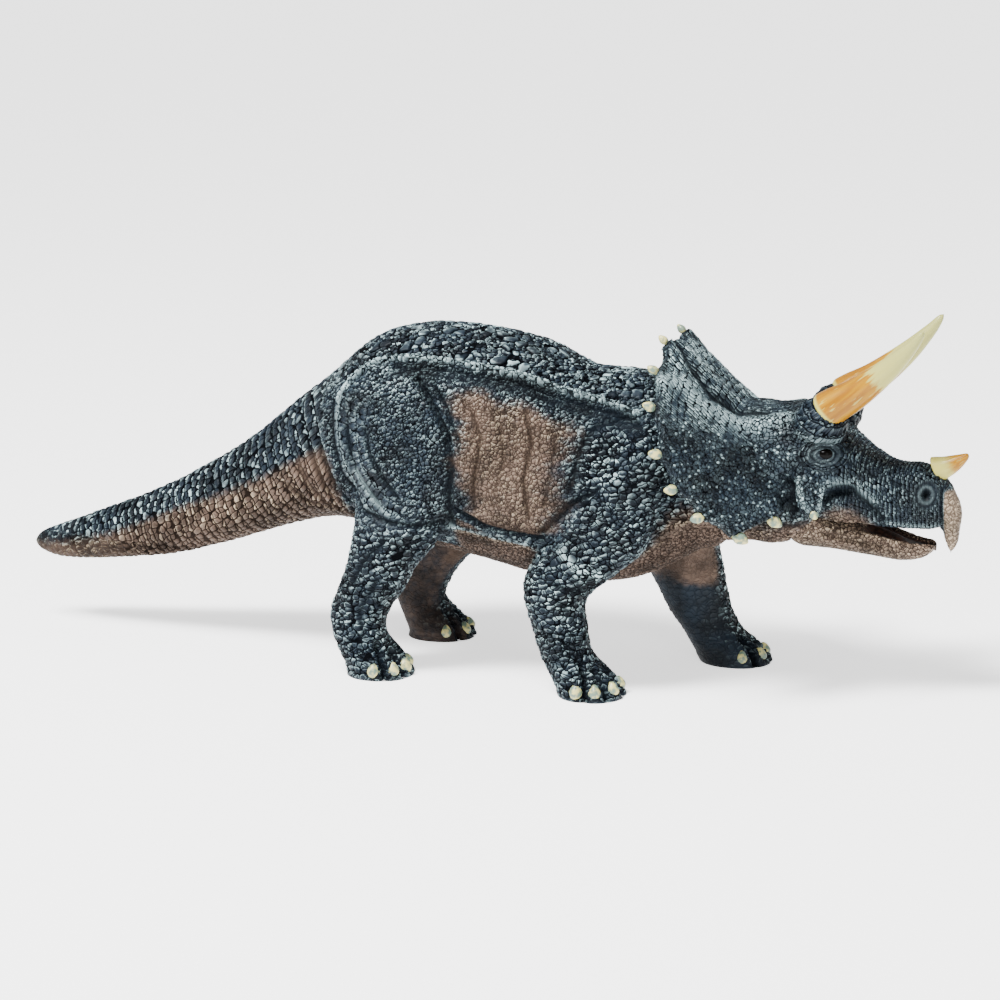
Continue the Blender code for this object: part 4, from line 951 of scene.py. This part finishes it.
def hide_material(name, kinds, outline):
    """Painted hide, with painted highlight and shade from a light above. A high outline keeps the
    pale dry-brushing marks to the scales' edges.
    """
    material, tree, shader = new_material(name)

    def read(attribute, vector=False):
        node = add(tree, "ShaderNodeAttribute", {"attribute_name": attribute})
        return node.outputs["Vector" if vector else "Fac"]

    where = read("rest", True)
    depth, chance, up = hide_pattern(tree, read, kinds)
    height = dome(tree, depth, PAINT_EDGE)
    middle = step(tree, depth, 0.15, 0.27)
    inside = product(tree, middle, outline)
    edge = maths(tree, "SUBTRACT", step(tree, depth, 0.04, 0.10), inside)
    patches = step(tree, noise_at(tree, where, 0.0017, 3.0), 0.40, 0.60, 0.10, 1.0)
    clouds = step(tree, noise_at(tree, where, 0.009, 2.0), 0.36, 0.62, 0.35, 1.0)
    # Pale marks only on each scale's upper edge: dry brushing, partly painted highlight from the
    # light above.
    marked = product(tree, edge, step(tree, up, -0.15, 0.30))
    plate = product(tree, step(tree, chance, 0.82, 0.92), step(tree, depth, 0.08, 0.2))
    marked = maths(tree, "CLAMP_MULTIPLY_ADD", plate, 0.35, marked)
    on_coarse = maths(tree, "MULTIPLY_ADD", read("coarse"), 0.5, 1.0)
    brush_and_highlight_marks = product(tree, marked, product(tree, patches, clouds, read("brush_and_highlight"), on_coarse))
    even = mix(tree, read("smooth"), step(tree, depth, 0.05, 0.12), 0.9)
    ridge = product(tree, read("crest"), even)
    brush_and_highlight_marks = maths(tree, "CLAMP_MULTIPLY_ADD", ridge, 0.55, brush_and_highlight_marks)
    border = maths(tree, "MULTIPLY_ADD", noise_at(tree, where, 0.0013, 4.0), 0.7, read("tan"))
    tan = step(tree, border, 0.50, 1.25)
    cloud = step(tree, noise_at(tree, where, 0.007, 3.0), 0.35, 0.65)
    dark, low, high, pale = (blend(tree, tan, linear(a), linear(b)) for a, b in zip(SLATE, TAN))
    thinned = maths(tree, "MULTIPLY_ADD", product(tree, middle, read("coarse")), -0.5, 1.0)
    # Each scale's lower side is painted darker, as painted shade from the light above.
    shaded = product(tree, height, step(tree, up, -0.55, 0.30, 0.45, 1.0), thinned)
    shaded = mix(tree, product(tree, read("smooth"), 0.85), shaded, 0.75)
    # Grooves are painted dark, partly as dark coat and partly as painted shade. The belly, the
    # legs' inner sides and the skin behind the frill get painted shade the same way.
    shaded = mix(tree, product(tree, read("hollow"), 0.9), shaded, 0.12)
    coat_and_shade = blend(tree, shaded, dark, blend(tree, cloud, low, high))
    grain = maths(tree, "MULTIPLY_ADD", noise_at(tree, where, 0.0006, 3.0), 0.35, height)
    grain = product(tree, grain, maths(tree, "MULTIPLY_ADD", read("smooth"), -0.8, 1.0))
    plug(tree, shader, {
        "Base Color": blend(tree, brush_and_highlight_marks, coat_and_shade, pale),
        "Roughness": mix(tree, shaded, GROOVE_ROUGHNESS, PAINT_ROUGHNESS),
        "Specular IOR Level": mix(tree, shaded, 0.03, 0.20),
        "Normal": bumped(tree, grain, 0.00035, 1.0),
    })
    return material


# %% [markdown]
# ## Parting the skin
# The finished skin is parted with flat cuts into the tail, the hindquarters, the forequarters
# and the four feet, and each cut is closed. The cuts run where the two sides meet face to face,
# so nothing shows from outside, and each piece stays light enough to hand on.


# %% Parting
def flat_cut(bm, point, outward):
    """Cut away what lies beyond a plane, and close the cut with a flat face."""
    geometry = bm.verts[:] + bm.edges[:] + bm.faces[:]
    bmesh.ops.bisect_plane(
        bm, geom=geometry, dist=1e-6, plane_co=point, plane_no=outward, clear_outer=True)
    bmesh.ops.holes_fill(bm, edges=[edge for edge in bm.edges if edge.is_boundary], sides=0)


def dressed(made, name, rides_on, stands_for, slot, *materials):
    """Name a piece, paint it, smooth its shading, and say what it rides on and stands for."""
    made.name = made.data.name = name
    for material in materials:
        made.data.materials.append(material)
    made.data.polygons.foreach_set("use_smooth", [True] * len(made.data.polygons))
    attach(made, rides_on)
    if stands_for:
        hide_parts(*stands_for)
    print(name, "has", sum(len(face.vertices) - 2 for face in made.data.polygons), "triangles")


def parted(source, name, cuts, material, stands_for):
    """One closed piece of the body's skin: what stays after some flat cuts."""
    bm = bmesh.new()
    bm.from_mesh(source.data)
    for way, place, keep_above in cuts:
        flat_cut(bm, way * (place / 1000.0), -way if keep_above else way)
    bmesh.ops.triangulate(bm, faces=[face for face in bm.faces if len(face.verts) > 4])
    dressed(as_object(name, bm), name, "body", stands_for, "skin", material)


# %% Dress the body
relief(body, ("fine", "coarse", "plate", "ring"), 0.00036)
trunk_hide = hide_material("painted_vinyl_hide", ("fine", "coarse", "plate", "ring"), 0.8)
tail_hide = hide_material("painted_vinyl_ringed_tail", ("coarse", "ring"), 0.6)
foot_hide = hide_material("painted_vinyl_pebbled_foot", ("coarse",), 0.95)
TAIL_CUT, MIDDLE_CUT, HIND_CUT, FORE_CUT, NECK_CUT = -36.2, 12.0, 22.0, 20.0, 57.89
# Each cut: its way, its place along that way, and whether the side beyond it is kept
parted(body, "tail_skin", [(FORWARD, TAIL_CUT, False)], tail_hide, ["tail"])
hind = [(FORWARD, TAIL_CUT, True), (FORWARD, MIDDLE_CUT, False), (UP, HIND_CUT, True)]
parted(body, "hindquarters_skin", hind, trunk_hide, ["torso"])
fore = [(FORWARD, MIDDLE_CUT, True), (FORWARD, NECK_CUT, False), (UP, FORE_CUT, True)]
parted(body, "forequarters_skin", fore, trunk_hide, [])
for name, (side, *_) in LEGS.items():
    in_front = "fore" in name
    height = FORE_CUT if in_front else HIND_CUT
    cuts = [(FORWARD, MIDDLE_CUT, in_front), (UP, height, False), (LEFT, 0.0, side > 0)]
    parted(body, name.replace("leg", "foot_skin"), cuts, foot_hide, [name])
bpy.data.objects.remove(body)

# %% [markdown]
# ## The head's forms
# The skull is another pulled ball, cut flat where it meets the neck, with a hooked beak, a cheek
# point and a horn boss on each side. The frill is a flared sheet. It starts as a grid, each point
# of which is turned round the neck's axis, and a Solidify modifier gives it its thickness. Its
# rim draws in a little between two studs, as the real one is scalloped.

# %% Frill
NECK_FACE = NECK + FORWARD * NECK_GAP
SCALLOP_SHARE = 0.05


def frill_point(turn_share, out_share):
    """A place on the middle of the frill's sheet."""
    root_x, root_r, rim_x, rim_r = row_at(FRILL_SHARES, abs(turn_share))
    forward = (root_x + (rim_x - root_x) * out_share) * HEAD_LENGTH
    radius = (root_r + (rim_r - root_r) * out_share) * FRILL_RADIUS
    angle = math.radians(turn_share * FRILL_SWEEP)
    return NECK + Vector((forward, radius * math.sin(angle), radius * math.cos(angle)))


def scallop(turn_share):
    """How far the rim draws in between two studs, as a share."""
    turns = [-STUD_SHARES[0][0], *[turn for turn, out, _ in STUD_SHARES if out == 1.0], 1.0]
    for first, second in zip(turns[:-1], turns[1:]):
        if first <= abs(turn_share) <= second:
            between = (abs(turn_share) - first) / (second - first)
            return SCALLOP_SHARE * math.sin(math.pi * between) ** 2
    return 0.0


def frill_form():
    """The frill as a closed sheet with thickness."""
    bm = bmesh.new()
    bmesh.ops.create_grid(bm, x_segments=120, y_segments=24, size=1.0)
    for vertex in bm.verts:
        turn, out = vertex.co.x, (vertex.co.y + 1.0) / 2.0
        vertex.co = frill_point(turn, out * (1.0 - scallop(turn)))
    bmesh.ops.recalc_face_normals(bm, faces=bm.faces)
    sheet = as_object("frill_sheet", bm)
    wall = sheet.modifiers.new("Thickness", "SOLIDIFY")
    wall.thickness, wall.offset = FRILL_THICKNESS * 0.9, 0.0
    applied(sheet)
    bm = bmesh.new()
    bm.from_mesh(sheet.data)
    bpy.data.objects.remove(sheet)
    return bm


# %% Skull, beak, cheeks and bosses
def head_place(shares, side=1):
    """A place in the head, from shares of its length, width and height."""
    along, out, up = shares
    return NECK + Vector((along * HEAD_LENGTH, side * out * HEAD_WIDTH, up * HEAD_HEIGHT))


def skull_form():
    """The skull with its flat neck face."""
    rows = sized(SKULL_SHARES, HEAD_LENGTH, HEAD_WIDTH, HEAD_HEIGHT)
    bm = pulled_ball(rows, (FORWARD, LEFT, UP), NECK, (96, 72), 2.8)
    flat_cut(bm, NECK_FACE, -FORWARD)
    return bm


def beak_form():
    """The hooked tip of the upper jaw."""
    rows = sized(BEAK_SHARES, HEAD_HEIGHT, HEAD_WIDTH, HEAD_LENGTH)
    return pulled_ball(rows, (UP, LEFT, FORWARD), NECK, (40, 32), 2.0)


def lump_form(ends, side):
    """A rounded lump that runs from a root to a tip."""
    root, tip = (head_place(shares, side) for shares in ends[:2])
    first, last = (share * HEAD_WIDTH for share in ends[2])
    along = (tip - root).normalized()
    across = LEFT.cross(along).normalized()
    end = (tip - root).length
    rings = (
        (-first, 0.0), (-first / 2, first * 0.85), (end * 0.2, first), (end, last),
        (end + last * 0.8, 0.0))
    rows = [(place, 0.0, 0.0, radius, radius, radius) for place, radius in rings]
    return pulled_ball(rows, (along, across, along.cross(across)), root, (32, 32), 2.0)


forms = [skull_form(), beak_form(), frill_form()]
forms += [lump_form(ends, side) for ends in (CHEEK, BOSS) for side in (-1, 1)]
head = clay("head_clay", forms, HEAD_VOXEL, 5)

# %% [markdown]
# ## Folds of the head
# The frill has a crest on each side, from the rim to the brow, with a trough between them. Rings
# of skin lie round the eye, the nostril and the horn's root, and grooves part the cheek from the
# frill and the pale lower jaw muscles from the dark muzzle.

# %% Sculpt the head
def turned_about(offsets, axis):
    """The turn of each place about an axis, as an angle."""
    first = axis.orthogonal().normalized()
    second = axis.cross(first)
    return np.arctan2(offsets @ np.array(second), offsets @ np.array(first))


EYE, NOSTRIL = (80.5, -11.6, 54.1), (100.9, -5.6, 45.7)


skull = Sculpture(head)
HEAD_FOLDS = (
    (1.9, 0.7, (47, -18, 69), (50.9, -13.4, 67.6), (54.7, -14.1, 63.4), (60.5, -11.4, 60.1),
     (66.5, -9.9, 59.4), (72, -8.3, 60.7)),
    (1.3, -0.6, (47.5, -5.5, 76), (52, -8.5, 69), (56, -9, 64), (61, -7.5, 61), (67, -6, 60)),
    (1.5, -1.9, (73.4, -14, 48), (74.4, -13.8, 45), (75.6, -12.8, 41.5)),
    (1.2, -1.6, (82.4, -13.8, 43.2), (83.2, -13, 45.8), (85.6, -11, 46.2)),
    (0.5, 0.6, (75.8, -14.2, 49), (77.0, -15.2, 45.6), (78.8, -16.2, 43.4)),
    (0.5, 0.6, (81.6, -14.0, 48.2), (81.2, -15.0, 45.6), (80.4, -16.2, 43.4)),
    (0.45, -0.4, (104.2, -4.2, 47.5), (104.3, -4.2, 43), (104.2, -3.6, 38.6)),
    (0.7, -0.55, (80.9, -14.6, 43), (81.2, -13.4, 46), (83.3, -11.8, 47.3), (86.4, -10.6, 46.9),
     (89.9, -9, 43.8), (92.5, -6.9, 40.5)),
    (0.8, 0.3, (82.2, -13, 48), (86.8, -10.8, 48.1), (91, -8.8, 44.4)),
    (0.5, -0.3, (84.5, -10.8, 53.6), (90, -8.9, 50.6), (96, -6.9, 47.4)),
    (0.55, 0.35, (93.5, -6.8, 39.4), (98, -5.6, 38.6), (103, -3.4, 38.2)),
    (0.8, 0.25, (76, -10.5, 58.2), (80.5, -12, 57.6), (84.5, -10.6, 56.2)),
    (0.7, -0.4, (68, -12.8, 39), (74, -12.6, 37.6), (80, -10.8, 38.2)),
)
for width, height, *line in HEAD_FOLDS:
    skull.stroke(line, width, height)
# Each ring round the eye and the nostril: its radius, width and height
ALMOND, PEAR = (1.0, 0.6, 1.5), (1.0, 0.5, 0.8)
EYE_RINGS = (1.9, 0.25, 0.16), (2.4, 0.35, -0.35), (3.1, 0.22, 0.10), (3.7, 0.35, -0.25)
NOSTRIL_RINGS = (0.0, 0.8, -1.4), (1.4, 0.25, 0.16), (2.0, 0.3, -0.25), (2.6, 0.25, 0.08)
for ring in EYE_RINGS:
    skull.ring(EYE, ALMOND, *ring)
for ring in NOSTRIL_RINGS:
    skull.ring(NOSTRIL, PEAR, *ring)
lean, spread = math.radians(BROW_HORN_LEAN), math.tan(math.radians(BROW_HORN_SPREAD))
horn_root = head_place(BROW_HORN_SHARE, -1) * 1000.0
horn_way = Vector((math.cos(lean), -spread, math.sin(lean))).normalized()
mirrored = skull.on_the_right().astype(float)
from_horn = np.linalg.norm(mirrored - np.array(horn_root), axis=1)
collar = fade(from_horn, 6.6, 7.6)
skull.points += skull.normals * (0.14 * np.cos(from_horn * 2.0 * math.pi / 1.2) * collar)[:, None]
skull.write()

# %% Masks of the head
x, y, z = skull.points.T
rise, round_about = z - NECK.z * 1000, np.hypot(y, z - NECK.z * 1000)
JAW_LINE = (
    (50, 42), (75, 43), (79, 44), (81, 45.8), (83.3, 47.3), (86.4, 46.9), (89.9, 43.8),
    (92.5, 39.7), (94, 36),
)
jaw_line = np.interp(x, *zip(*JAW_LINE))
beak = soft(x, 104, 104.6) * fade(z, 45.5, 47)
below = fade(z - jaw_line, -8, -1) * fade(np.abs(y), 13.8, 15) * (x < 96)
muzzle = soft(x, 81, 85) * (1 - beak)
streak = soft(rise / round_about, 0.4, 0.95) * fade(x, 60, 72)
streak *= soft(skull.normals[:, 0], -0.1, 0.3)
turn = np.arctan2(y, rise) * round_about
rows = np.stack([x / 0.8, turn / 0.9, 0 * x], axis=1)
streaks = np.stack([turn / 0.6, (x * 0.75 - round_about * 0.65) / 1.6, 1 + 0 * x], axis=1)
collar_turn = turned_about(mirrored - np.array(horn_root), horn_way)
collars = np.stack([from_horn / 1.2, collar_turn * 5.5 / 0.7, 0 * x], axis=1)
from_eye = np.linalg.norm((mirrored - EYE) * ALMOND, axis=1)
eye_turn = turned_about(mirrored - EYE, LEFT)
lids = np.stack([from_eye / 0.8, eye_turn * 3 / 0.8, 0 * x], axis=1)
eye_area = fade(from_eye, 4.6, 5.6)
from_nostril = np.linalg.norm((mirrored - NOSTRIL) * PEAR, axis=1)
lips = np.maximum(fade(from_eye, 3.4, 4.2), fade(from_nostril, 2, 2.8))
grid = np.where((muzzle > 0.01)[:, None], rows, streaks)
grid = np.where((eye_area > 0.3)[:, None], lids, grid)
skull.keep("grid", np.where((collar > 0.3)[:, None], collars, grid))
skull.masks["ring"] = np.clip(muzzle + streak + collar + eye_area, 0, 1) * (1 - below)
skull.masks["pimple"] = (1 - beak) * (1 - below)
skull.masks["tan"] = np.clip(beak + below, 0, 1)
skull.masks["coarse"] = np.zeros_like(x)
hollow, crest = skull.masks["hollow"], skull.masks["crest"]
skull.masks["brush_and_highlight"] = (1 - 0.95 * hollow) * np.clip(
    0.56 + 0.9 * streak - 0.1 * muzzle + 0.3 * crest + 0.4 * beak - 0.1 * below
    - 0.3 * np.maximum(lips, fade(from_horn, 7.5, 10)), 0, 1.5)
skull.masks["crest"] = np.maximum(crest * (0.7 - 0.2 * streak), 0.6 * beak)
skull.masks["smooth"] = np.max([0.5 * beak, 0.9 * lips, 0.8 * hollow], axis=0)
skull.store()
relief(head, ("fine", "pimple", "ring"), 0.00024)

# %% [markdown]
# ## The mouth and the neck's room
# The lower jaw swings on its pin, so the skull is hollow where the jaw moves. The hollow is the
# smallest rounded block that holds the jaw at its two ends of travel, and it is cut away with a
# Boolean modifier. Its walls get the mouth's dark paint. A shallow cone clears the neck.

# %% Room for the jaw and the neck
JAW_TRAVEL, ROOM = (-5.0, 0.0, 8.0), 0.00065
NECK_ROOM_DEPTH, NECK_ROOM_RADIUS, NECK_ROOM_MOUTH = 0.0094, 0.0154, 0.0195


def jaw_form(grow, facets):
    """The lower jaw, from behind its hinge to its tip."""
    rows = sized(JAW_SHARES, JAW_LENGTH, JAW_WIDTH, JAW_DEPTH)
    return pulled_ball(rows, (FORWARD, LEFT, UP), JAW_HINGE, facets, 2.15, grow)


def jaw_room():
    """The block that the jaw sweeps through."""
    places = bmesh.new()
    for degrees in JAW_TRAVEL:
        swung = jaw_form(ROOM, (32, 32))
        swing = Matrix.Rotation(math.radians(degrees), 3, "Y")
        bmesh.ops.rotate(swung, cent=JAW_HINGE, verts=swung.verts, matrix=swing)
        for vertex in swung.verts:
            places.verts.new(vertex.co)
        swung.free()
    hull = bmesh.ops.convex_hull(places, input=places.verts)
    inside = [item for item in hull["geom_interior"] if isinstance(item, bmesh.types.BMVert)]
    bmesh.ops.delete(places, geom=inside, context="VERTS")
    bmesh.ops.recalc_face_normals(places, faces=places.faces)
    return places


def neck_room():
    """The cone that the neck needs under the frill."""
    bm = bmesh.new()
    middle = NECK_FACE - FORWARD * NECK_ROOM_DEPTH / 2.0
    turned = facing(-FORWARD).to_matrix().to_4x4()
    bmesh.ops.create_cone(
        bm, cap_ends=True, segments=72, radius1=NECK_ROOM_RADIUS, radius2=NECK_ROOM_MOUTH,
        depth=NECK_ROOM_DEPTH, matrix=Matrix.Translation(middle) @ turned)
    return bm


def mouth_material():
    """Satin dark brown acrylic, as the mouth of such a figure has."""
    material, tree, shader = new_material("painted_vinyl_mouth")
    place = own_place(tree)
    spots = step(tree, noise_at(tree, place, 0.0009), 0.35, 0.65)
    mouth = blend(tree, spots, linear("#120a07"), linear("#3a2217"))
    cheek = blend(tree, spots, linear("#2a1d15"), linear("#5a4334"))
    colour = blend(tree, step(tree, axis_of(tree, place, "X"), 0.0865, 0.0890), cheek, mouth)
    bump = bumped(tree, spots, 0.0001, 0.4)
    plug(tree, shader, {"Base Color": colour, "Roughness": 0.5, "Normal": bump})
    return material


mouth_paint = mouth_material()
head_hide = hide_material("painted_vinyl_face", ("fine", "pimple", "ring"), 0.5)
head.data.materials.append(head_hide)
for word, bm in (("mouth", jaw_room()), ("neck", neck_room())):
    cutter = as_object(f"{word}_room", bm)
    cutter.data.materials.append(mouth_paint)
    cut = head.modifiers.new(word, "BOOLEAN")
    cut.operation, cut.solver, cut.object = "DIFFERENCE", "EXACT", cutter
    cut.material_mode = "TRANSFER"
    applied(head)
    bpy.data.objects.remove(cutter)


# %% Dress the head
dressed(head, "head_skin", "head", ["head"], "skin")

# %% [markdown]
# ## The lower jaw
# The jaw is its own moulding. It is remeshed finer than the body, because its folds are small, and
# its upper side is pressed in between the lips for the mouth's floor, with a low tongue.

# %% Jaw
jaw = clay("jaw_clay", [jaw_form(0, (48, 40))], JAW_VOXEL, 3)
chin = Sculpture(jaw)
x, y, z = chin.points.T
half_width = 1000 * np.interp(x / 1000, *zip(*[
    (JAW_HINGE.x + row[0] * JAW_LENGTH, row[3] * JAW_WIDTH) for row in JAW_SHARES]))
top = soft(chin.normals[:, 2], 0.1, 0.6)
inside = top * soft(x, 86.5, 90)
inside *= fade(np.abs(y) / np.maximum(half_width, 0.1), 0.55, 0.85)
chin.points[:, 2] += 0.3 * top * fade(x, 85, 88)
tongue = np.exp(-(y / 1.8) ** 2) * fade(x, 94, 98)
chin.points[:, 2] -= inside * (1.5 - 0.8 * tongue)
chin.stroke([(80, -8.4, 36.5), (86, -7.8, 35.2), (92, -6.2, 34)], 0.6, -0.35)
chin.stroke([(88, -6.7, 37), (92, -6, 36), (97, -4.6, 35)], 0.5, 0.25)
chin.write()
chin.masks.update(tan=np.ones_like(x), coarse=np.zeros_like(x), smooth=np.zeros_like(x) + 0.2)
hollow, crest = chin.masks["hollow"], chin.masks["crest"]
chin.masks["brush_and_highlight"] = np.clip(0.5 + 0.4 * crest - 0.5 * hollow, 0, 1)
chin.masks["crest"] = np.maximum(crest, 0.15)
chin.store()
relief(jaw, ("fine",), 0.00012)
jaw_hide = hide_material("painted_vinyl_jaw", ("fine",), 0.2)
dressed(jaw, "jaw_skin", "jaw", ["lower_jaw"], "jaw", jaw_hide, mouth_paint)
corners = np.array([inside[face.vertices[0]] for face in jaw.data.polygons])
jaw.data.polygons.foreach_set("material_index", (corners > 0.5).astype(np.int32))

# %% [markdown]
# ## Horns
# The horns are mouldings of a harder plastic with a gloss varnish. The brow horns are cream to
# green-grey at the tip, with streaks of orange over the lower half. The nose horn is painted the
# other way round. Each keeps its place along the horn as an attribute, so the paint follows it.


# %% Horn paint
def horn_material(name, from_orange, to_orange, base_edge):
    """Gloss varnished paint, orange between two places along the horn."""
    material, tree, shader = new_material(name)
    place = add(tree, "ShaderNodeAttribute", {"attribute_name": "grid"}).outputs["Vector"]
    along = axis_of(tree, place, "X")
    fibres = noise_at(tree, vectors(tree, "MULTIPLY", place, (3.0, 1.6, 1.6)), 0.55, 4.0)
    ragged = maths(tree, "MULTIPLY_ADD", fibres, 0.35, along)
    start = step(tree, along if base_edge else ragged, *from_orange)
    end = step(tree, ragged, *to_orange, 1.0, 0.0)
    streaks = maths(tree, "MULTIPLY_ADD", step(tree, fibres, 0.60, 0.66), -0.6, 1.0)
    clouds = step(tree, noise_at(tree, place, 0.5), 0.35, 0.65)
    deep = blend(tree, clouds, linear("#845400"), linear("#9c6e00"))
    cream = blend(tree, along, linear("#b4aa52"), linear("#98985c"))
    plug(tree, shader, {
        "Base Color": blend(tree, product(tree, start, end, streaks), cream, deep),
        "Roughness": 0.33, "Specular IOR Level": 0.2,
        "Coat Weight": 0.08, "Coat Roughness": 0.08,
        "Normal": bumped(tree, fibres, 0.00015, 0.5),
    })
    return material


# %% Horns
def horn(name, shares, side, length, diameter, lean, spread, material):
    """One horn, cut flat on its base, with its places along and around kept."""
    way = Vector((math.cos(lean), side * spread, math.sin(lean))).normalized()
    across = UP.cross(way).normalized()
    base = head_place(shares, side)
    rows = sized(HORN_SHARES, length, diameter, length, (diameter, diameter))
    bm = pulled_ball(rows, (way, across, way.cross(across)), base, (72, 56), 2.0)
    flat_cut(bm, base, -way)
    made = as_object(name, bm)
    carved = Sculpture(made)
    offset = carved.points / 1000.0 - np.array(base)
    along, up = offset @ np.array(way), np.array(way.cross(across))
    angle = np.arctan2(offset @ np.array(across), offset @ up)
    places = [along / length, np.cos(angle) * 1.5, np.sin(angle) * 1.5]
    carved.keep("grid", np.stack(places, axis=1))
    dressed(made, name + "_skin", "head", [name], "horn", material)


brow_paint = horn_material("varnished_horn_orange_base", (0.02, 0.05), (0.62, 0.70), True)
nose_paint = horn_material("varnished_horn_orange_tip", (0.45, 0.80), (2.0, 3.0), False)
brow_sizes = (BROW_HORN_LENGTH, BROW_HORN_DIAMETER, lean, spread)
nose_sizes = (NOSE_HORN_LENGTH, NOSE_HORN_DIAMETER, math.radians(NOSE_HORN_LEAN), 0.0)
for name, side in (("brow_horn_right", -1), ("brow_horn_left", 1)):
    horn(name, BROW_HORN_SHARE, side, *brow_sizes, brow_paint)
horn("nose_horn", NOSE_HORN_SHARE, 1, *nose_sizes, nose_paint)

# %% [markdown]
# ## Studs, nails and eyes
# The frill's studs and the nails are part of the mouldings and only painted another colour: a
# chalky cream with green-grey in patches. They are small balls, tapered and flattened. The
# eyes are half sunk black balls under a thick gloss.


# %% Small parts
def bone_material():
    """Cream acrylic with a thin green-grey wash, satin."""
    material, tree, shader = new_material("painted_vinyl_bone")
    place = own_place(tree)
    wash = step(tree, noise_at(tree, place, 0.0012, 3.0), 0.40, 0.62)
    colour = blend(tree, wash, linear("#5f7365"), linear("#c2ba78"))
    bump = bumped(tree, noise_at(tree, place, 0.0006), 0.0001, 0.5)
    plug(tree, shader, {"Base Color": colour, "Roughness": 0.38, "Normal": bump})
    return material


def tapered_ball(centre, turned, sizes, taper, facets):
    """A ball with three half sizes, which narrows toward its tip."""
    bm = bmesh.new()
    bmesh.ops.create_uvsphere(bm, u_segments=facets[1], v_segments=facets[0], radius=1.0)
    for vertex in bm.verts:
        thin = 1.0 - taper * max(vertex.co.z, 0.0)
        x, y, z = vertex.co
        vertex.co = (x * thin * sizes[0], y * thin * sizes[1], z * sizes[2])
    bmesh.ops.transform(bm, matrix=Matrix.Translation(centre) @ turned.to_4x4(), verts=bm.verts)
    return bm


STUD_REACH_SHARE, STUD_SLIM_SHARE, CHEEK_STUD = 0.40, 0.36, (0.0011, 0.0011, 0.0015)
bone = bone_material()
studs = []
for turn, out, share in STUD_SHARES:
    for side in (1.0, -1.0):
        edge = frill_point(turn * side, out)
        before = (turn, out - AIM_STEP) if out == 1.0 else (turn - AIM_STEP, out)
        way = (edge - frill_point(before[0] * side, before[1])).normalized()
        length = STUD_LENGTH * share
        reach, slim = length * STUD_REACH_SHARE, STUD_DIAMETER * share * STUD_SLIM_SHARE
        centre = edge + way * (STUD_OUT_SHARE * length + length / 2.0 - reach)
        turned = facing(way).to_matrix()
        studs.append(tapered_ball(centre, turned, (slim, slim, reach), 0.35, (10, 14)))
for side in (1, -1):
    tip = head_place(CHEEK[1], side)
    turned = facing((tip - head_place(CHEEK[0], side)).normalized()).to_matrix()
    studs.append(tapered_ball(tip, turned, CHEEK_STUD, 0.3, (8, 12)))
stud_piece = as_object("frill_studs", merged(studs))
dressed(stud_piece, "frill_studs", "head", [], "horn", bone)

# %% Nails
NAIL_RISE, NAIL_REACH_SHARE = 0.00335, 0.88
NAIL_SIZES = (NAIL_DEPTH / 2, NAIL_WIDTH * 0.38, NAIL_HEIGHT * 0.46)
nails_made = []
for name, (*_, turns) in LEGS.items():
    centre, reaches = foot_at(name, NAIL_RISE, turns)
    for reach in reaches:
        place = Vector((*(centre + reach * NAIL_REACH_SHARE), TAIL_TIP.z + NAIL_RISE))
        turned = Matrix.Rotation(math.atan2(reach[1], reach[0]), 3, "Z")
        nails_made.append(tapered_ball(place, turned, NAIL_SIZES, 0.3, (12, 16)))
nail_piece = as_object("nails", merged(nails_made))
dressed(nail_piece, "nails", "body", [], "horn", bone)

# %% Eyes
EYE_SIZES, EYE_SUNK = (0.00175, 0.0014, 0.0013), 0.75
eye_levels = {"Roughness": 0.2, "Specular IOR Level": 0.07}
eye_paint = clouded_material("gloss_black_eye", 0.0008, ("#010101", "#060403"), eye_levels)
balls = []
for side in (-1, 1):
    centre = Vector((EYE[0], (abs(EYE[1]) - EYE_SUNK) * side, EYE[2])) / 1000.0
    balls.append(tapered_ball(centre, Matrix.Identity(3), EYE_SIZES, 0.0, (20, 28)))
dressed(as_object("eyes", merged(balls)), "eyes", "head", [], "horn", eye_paint)

# %% [markdown]
# ## Hidden pins
# The neck's mushroom pin and the jaw's pin are never seen. They keep their solids and get a plain
# hard plastic, so that nothing in the model is left without a finish.

# %% Pins
pin_plastic = clouded_material(
    "moulded_grey_acetal", 0.002, ("#4e5153", "#5c5f61"), {"Roughness": 0.4})
for name in ("neck_pin", "jaw_pin"):
    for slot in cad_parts[name].material_slots:
        slot.material = pin_plastic
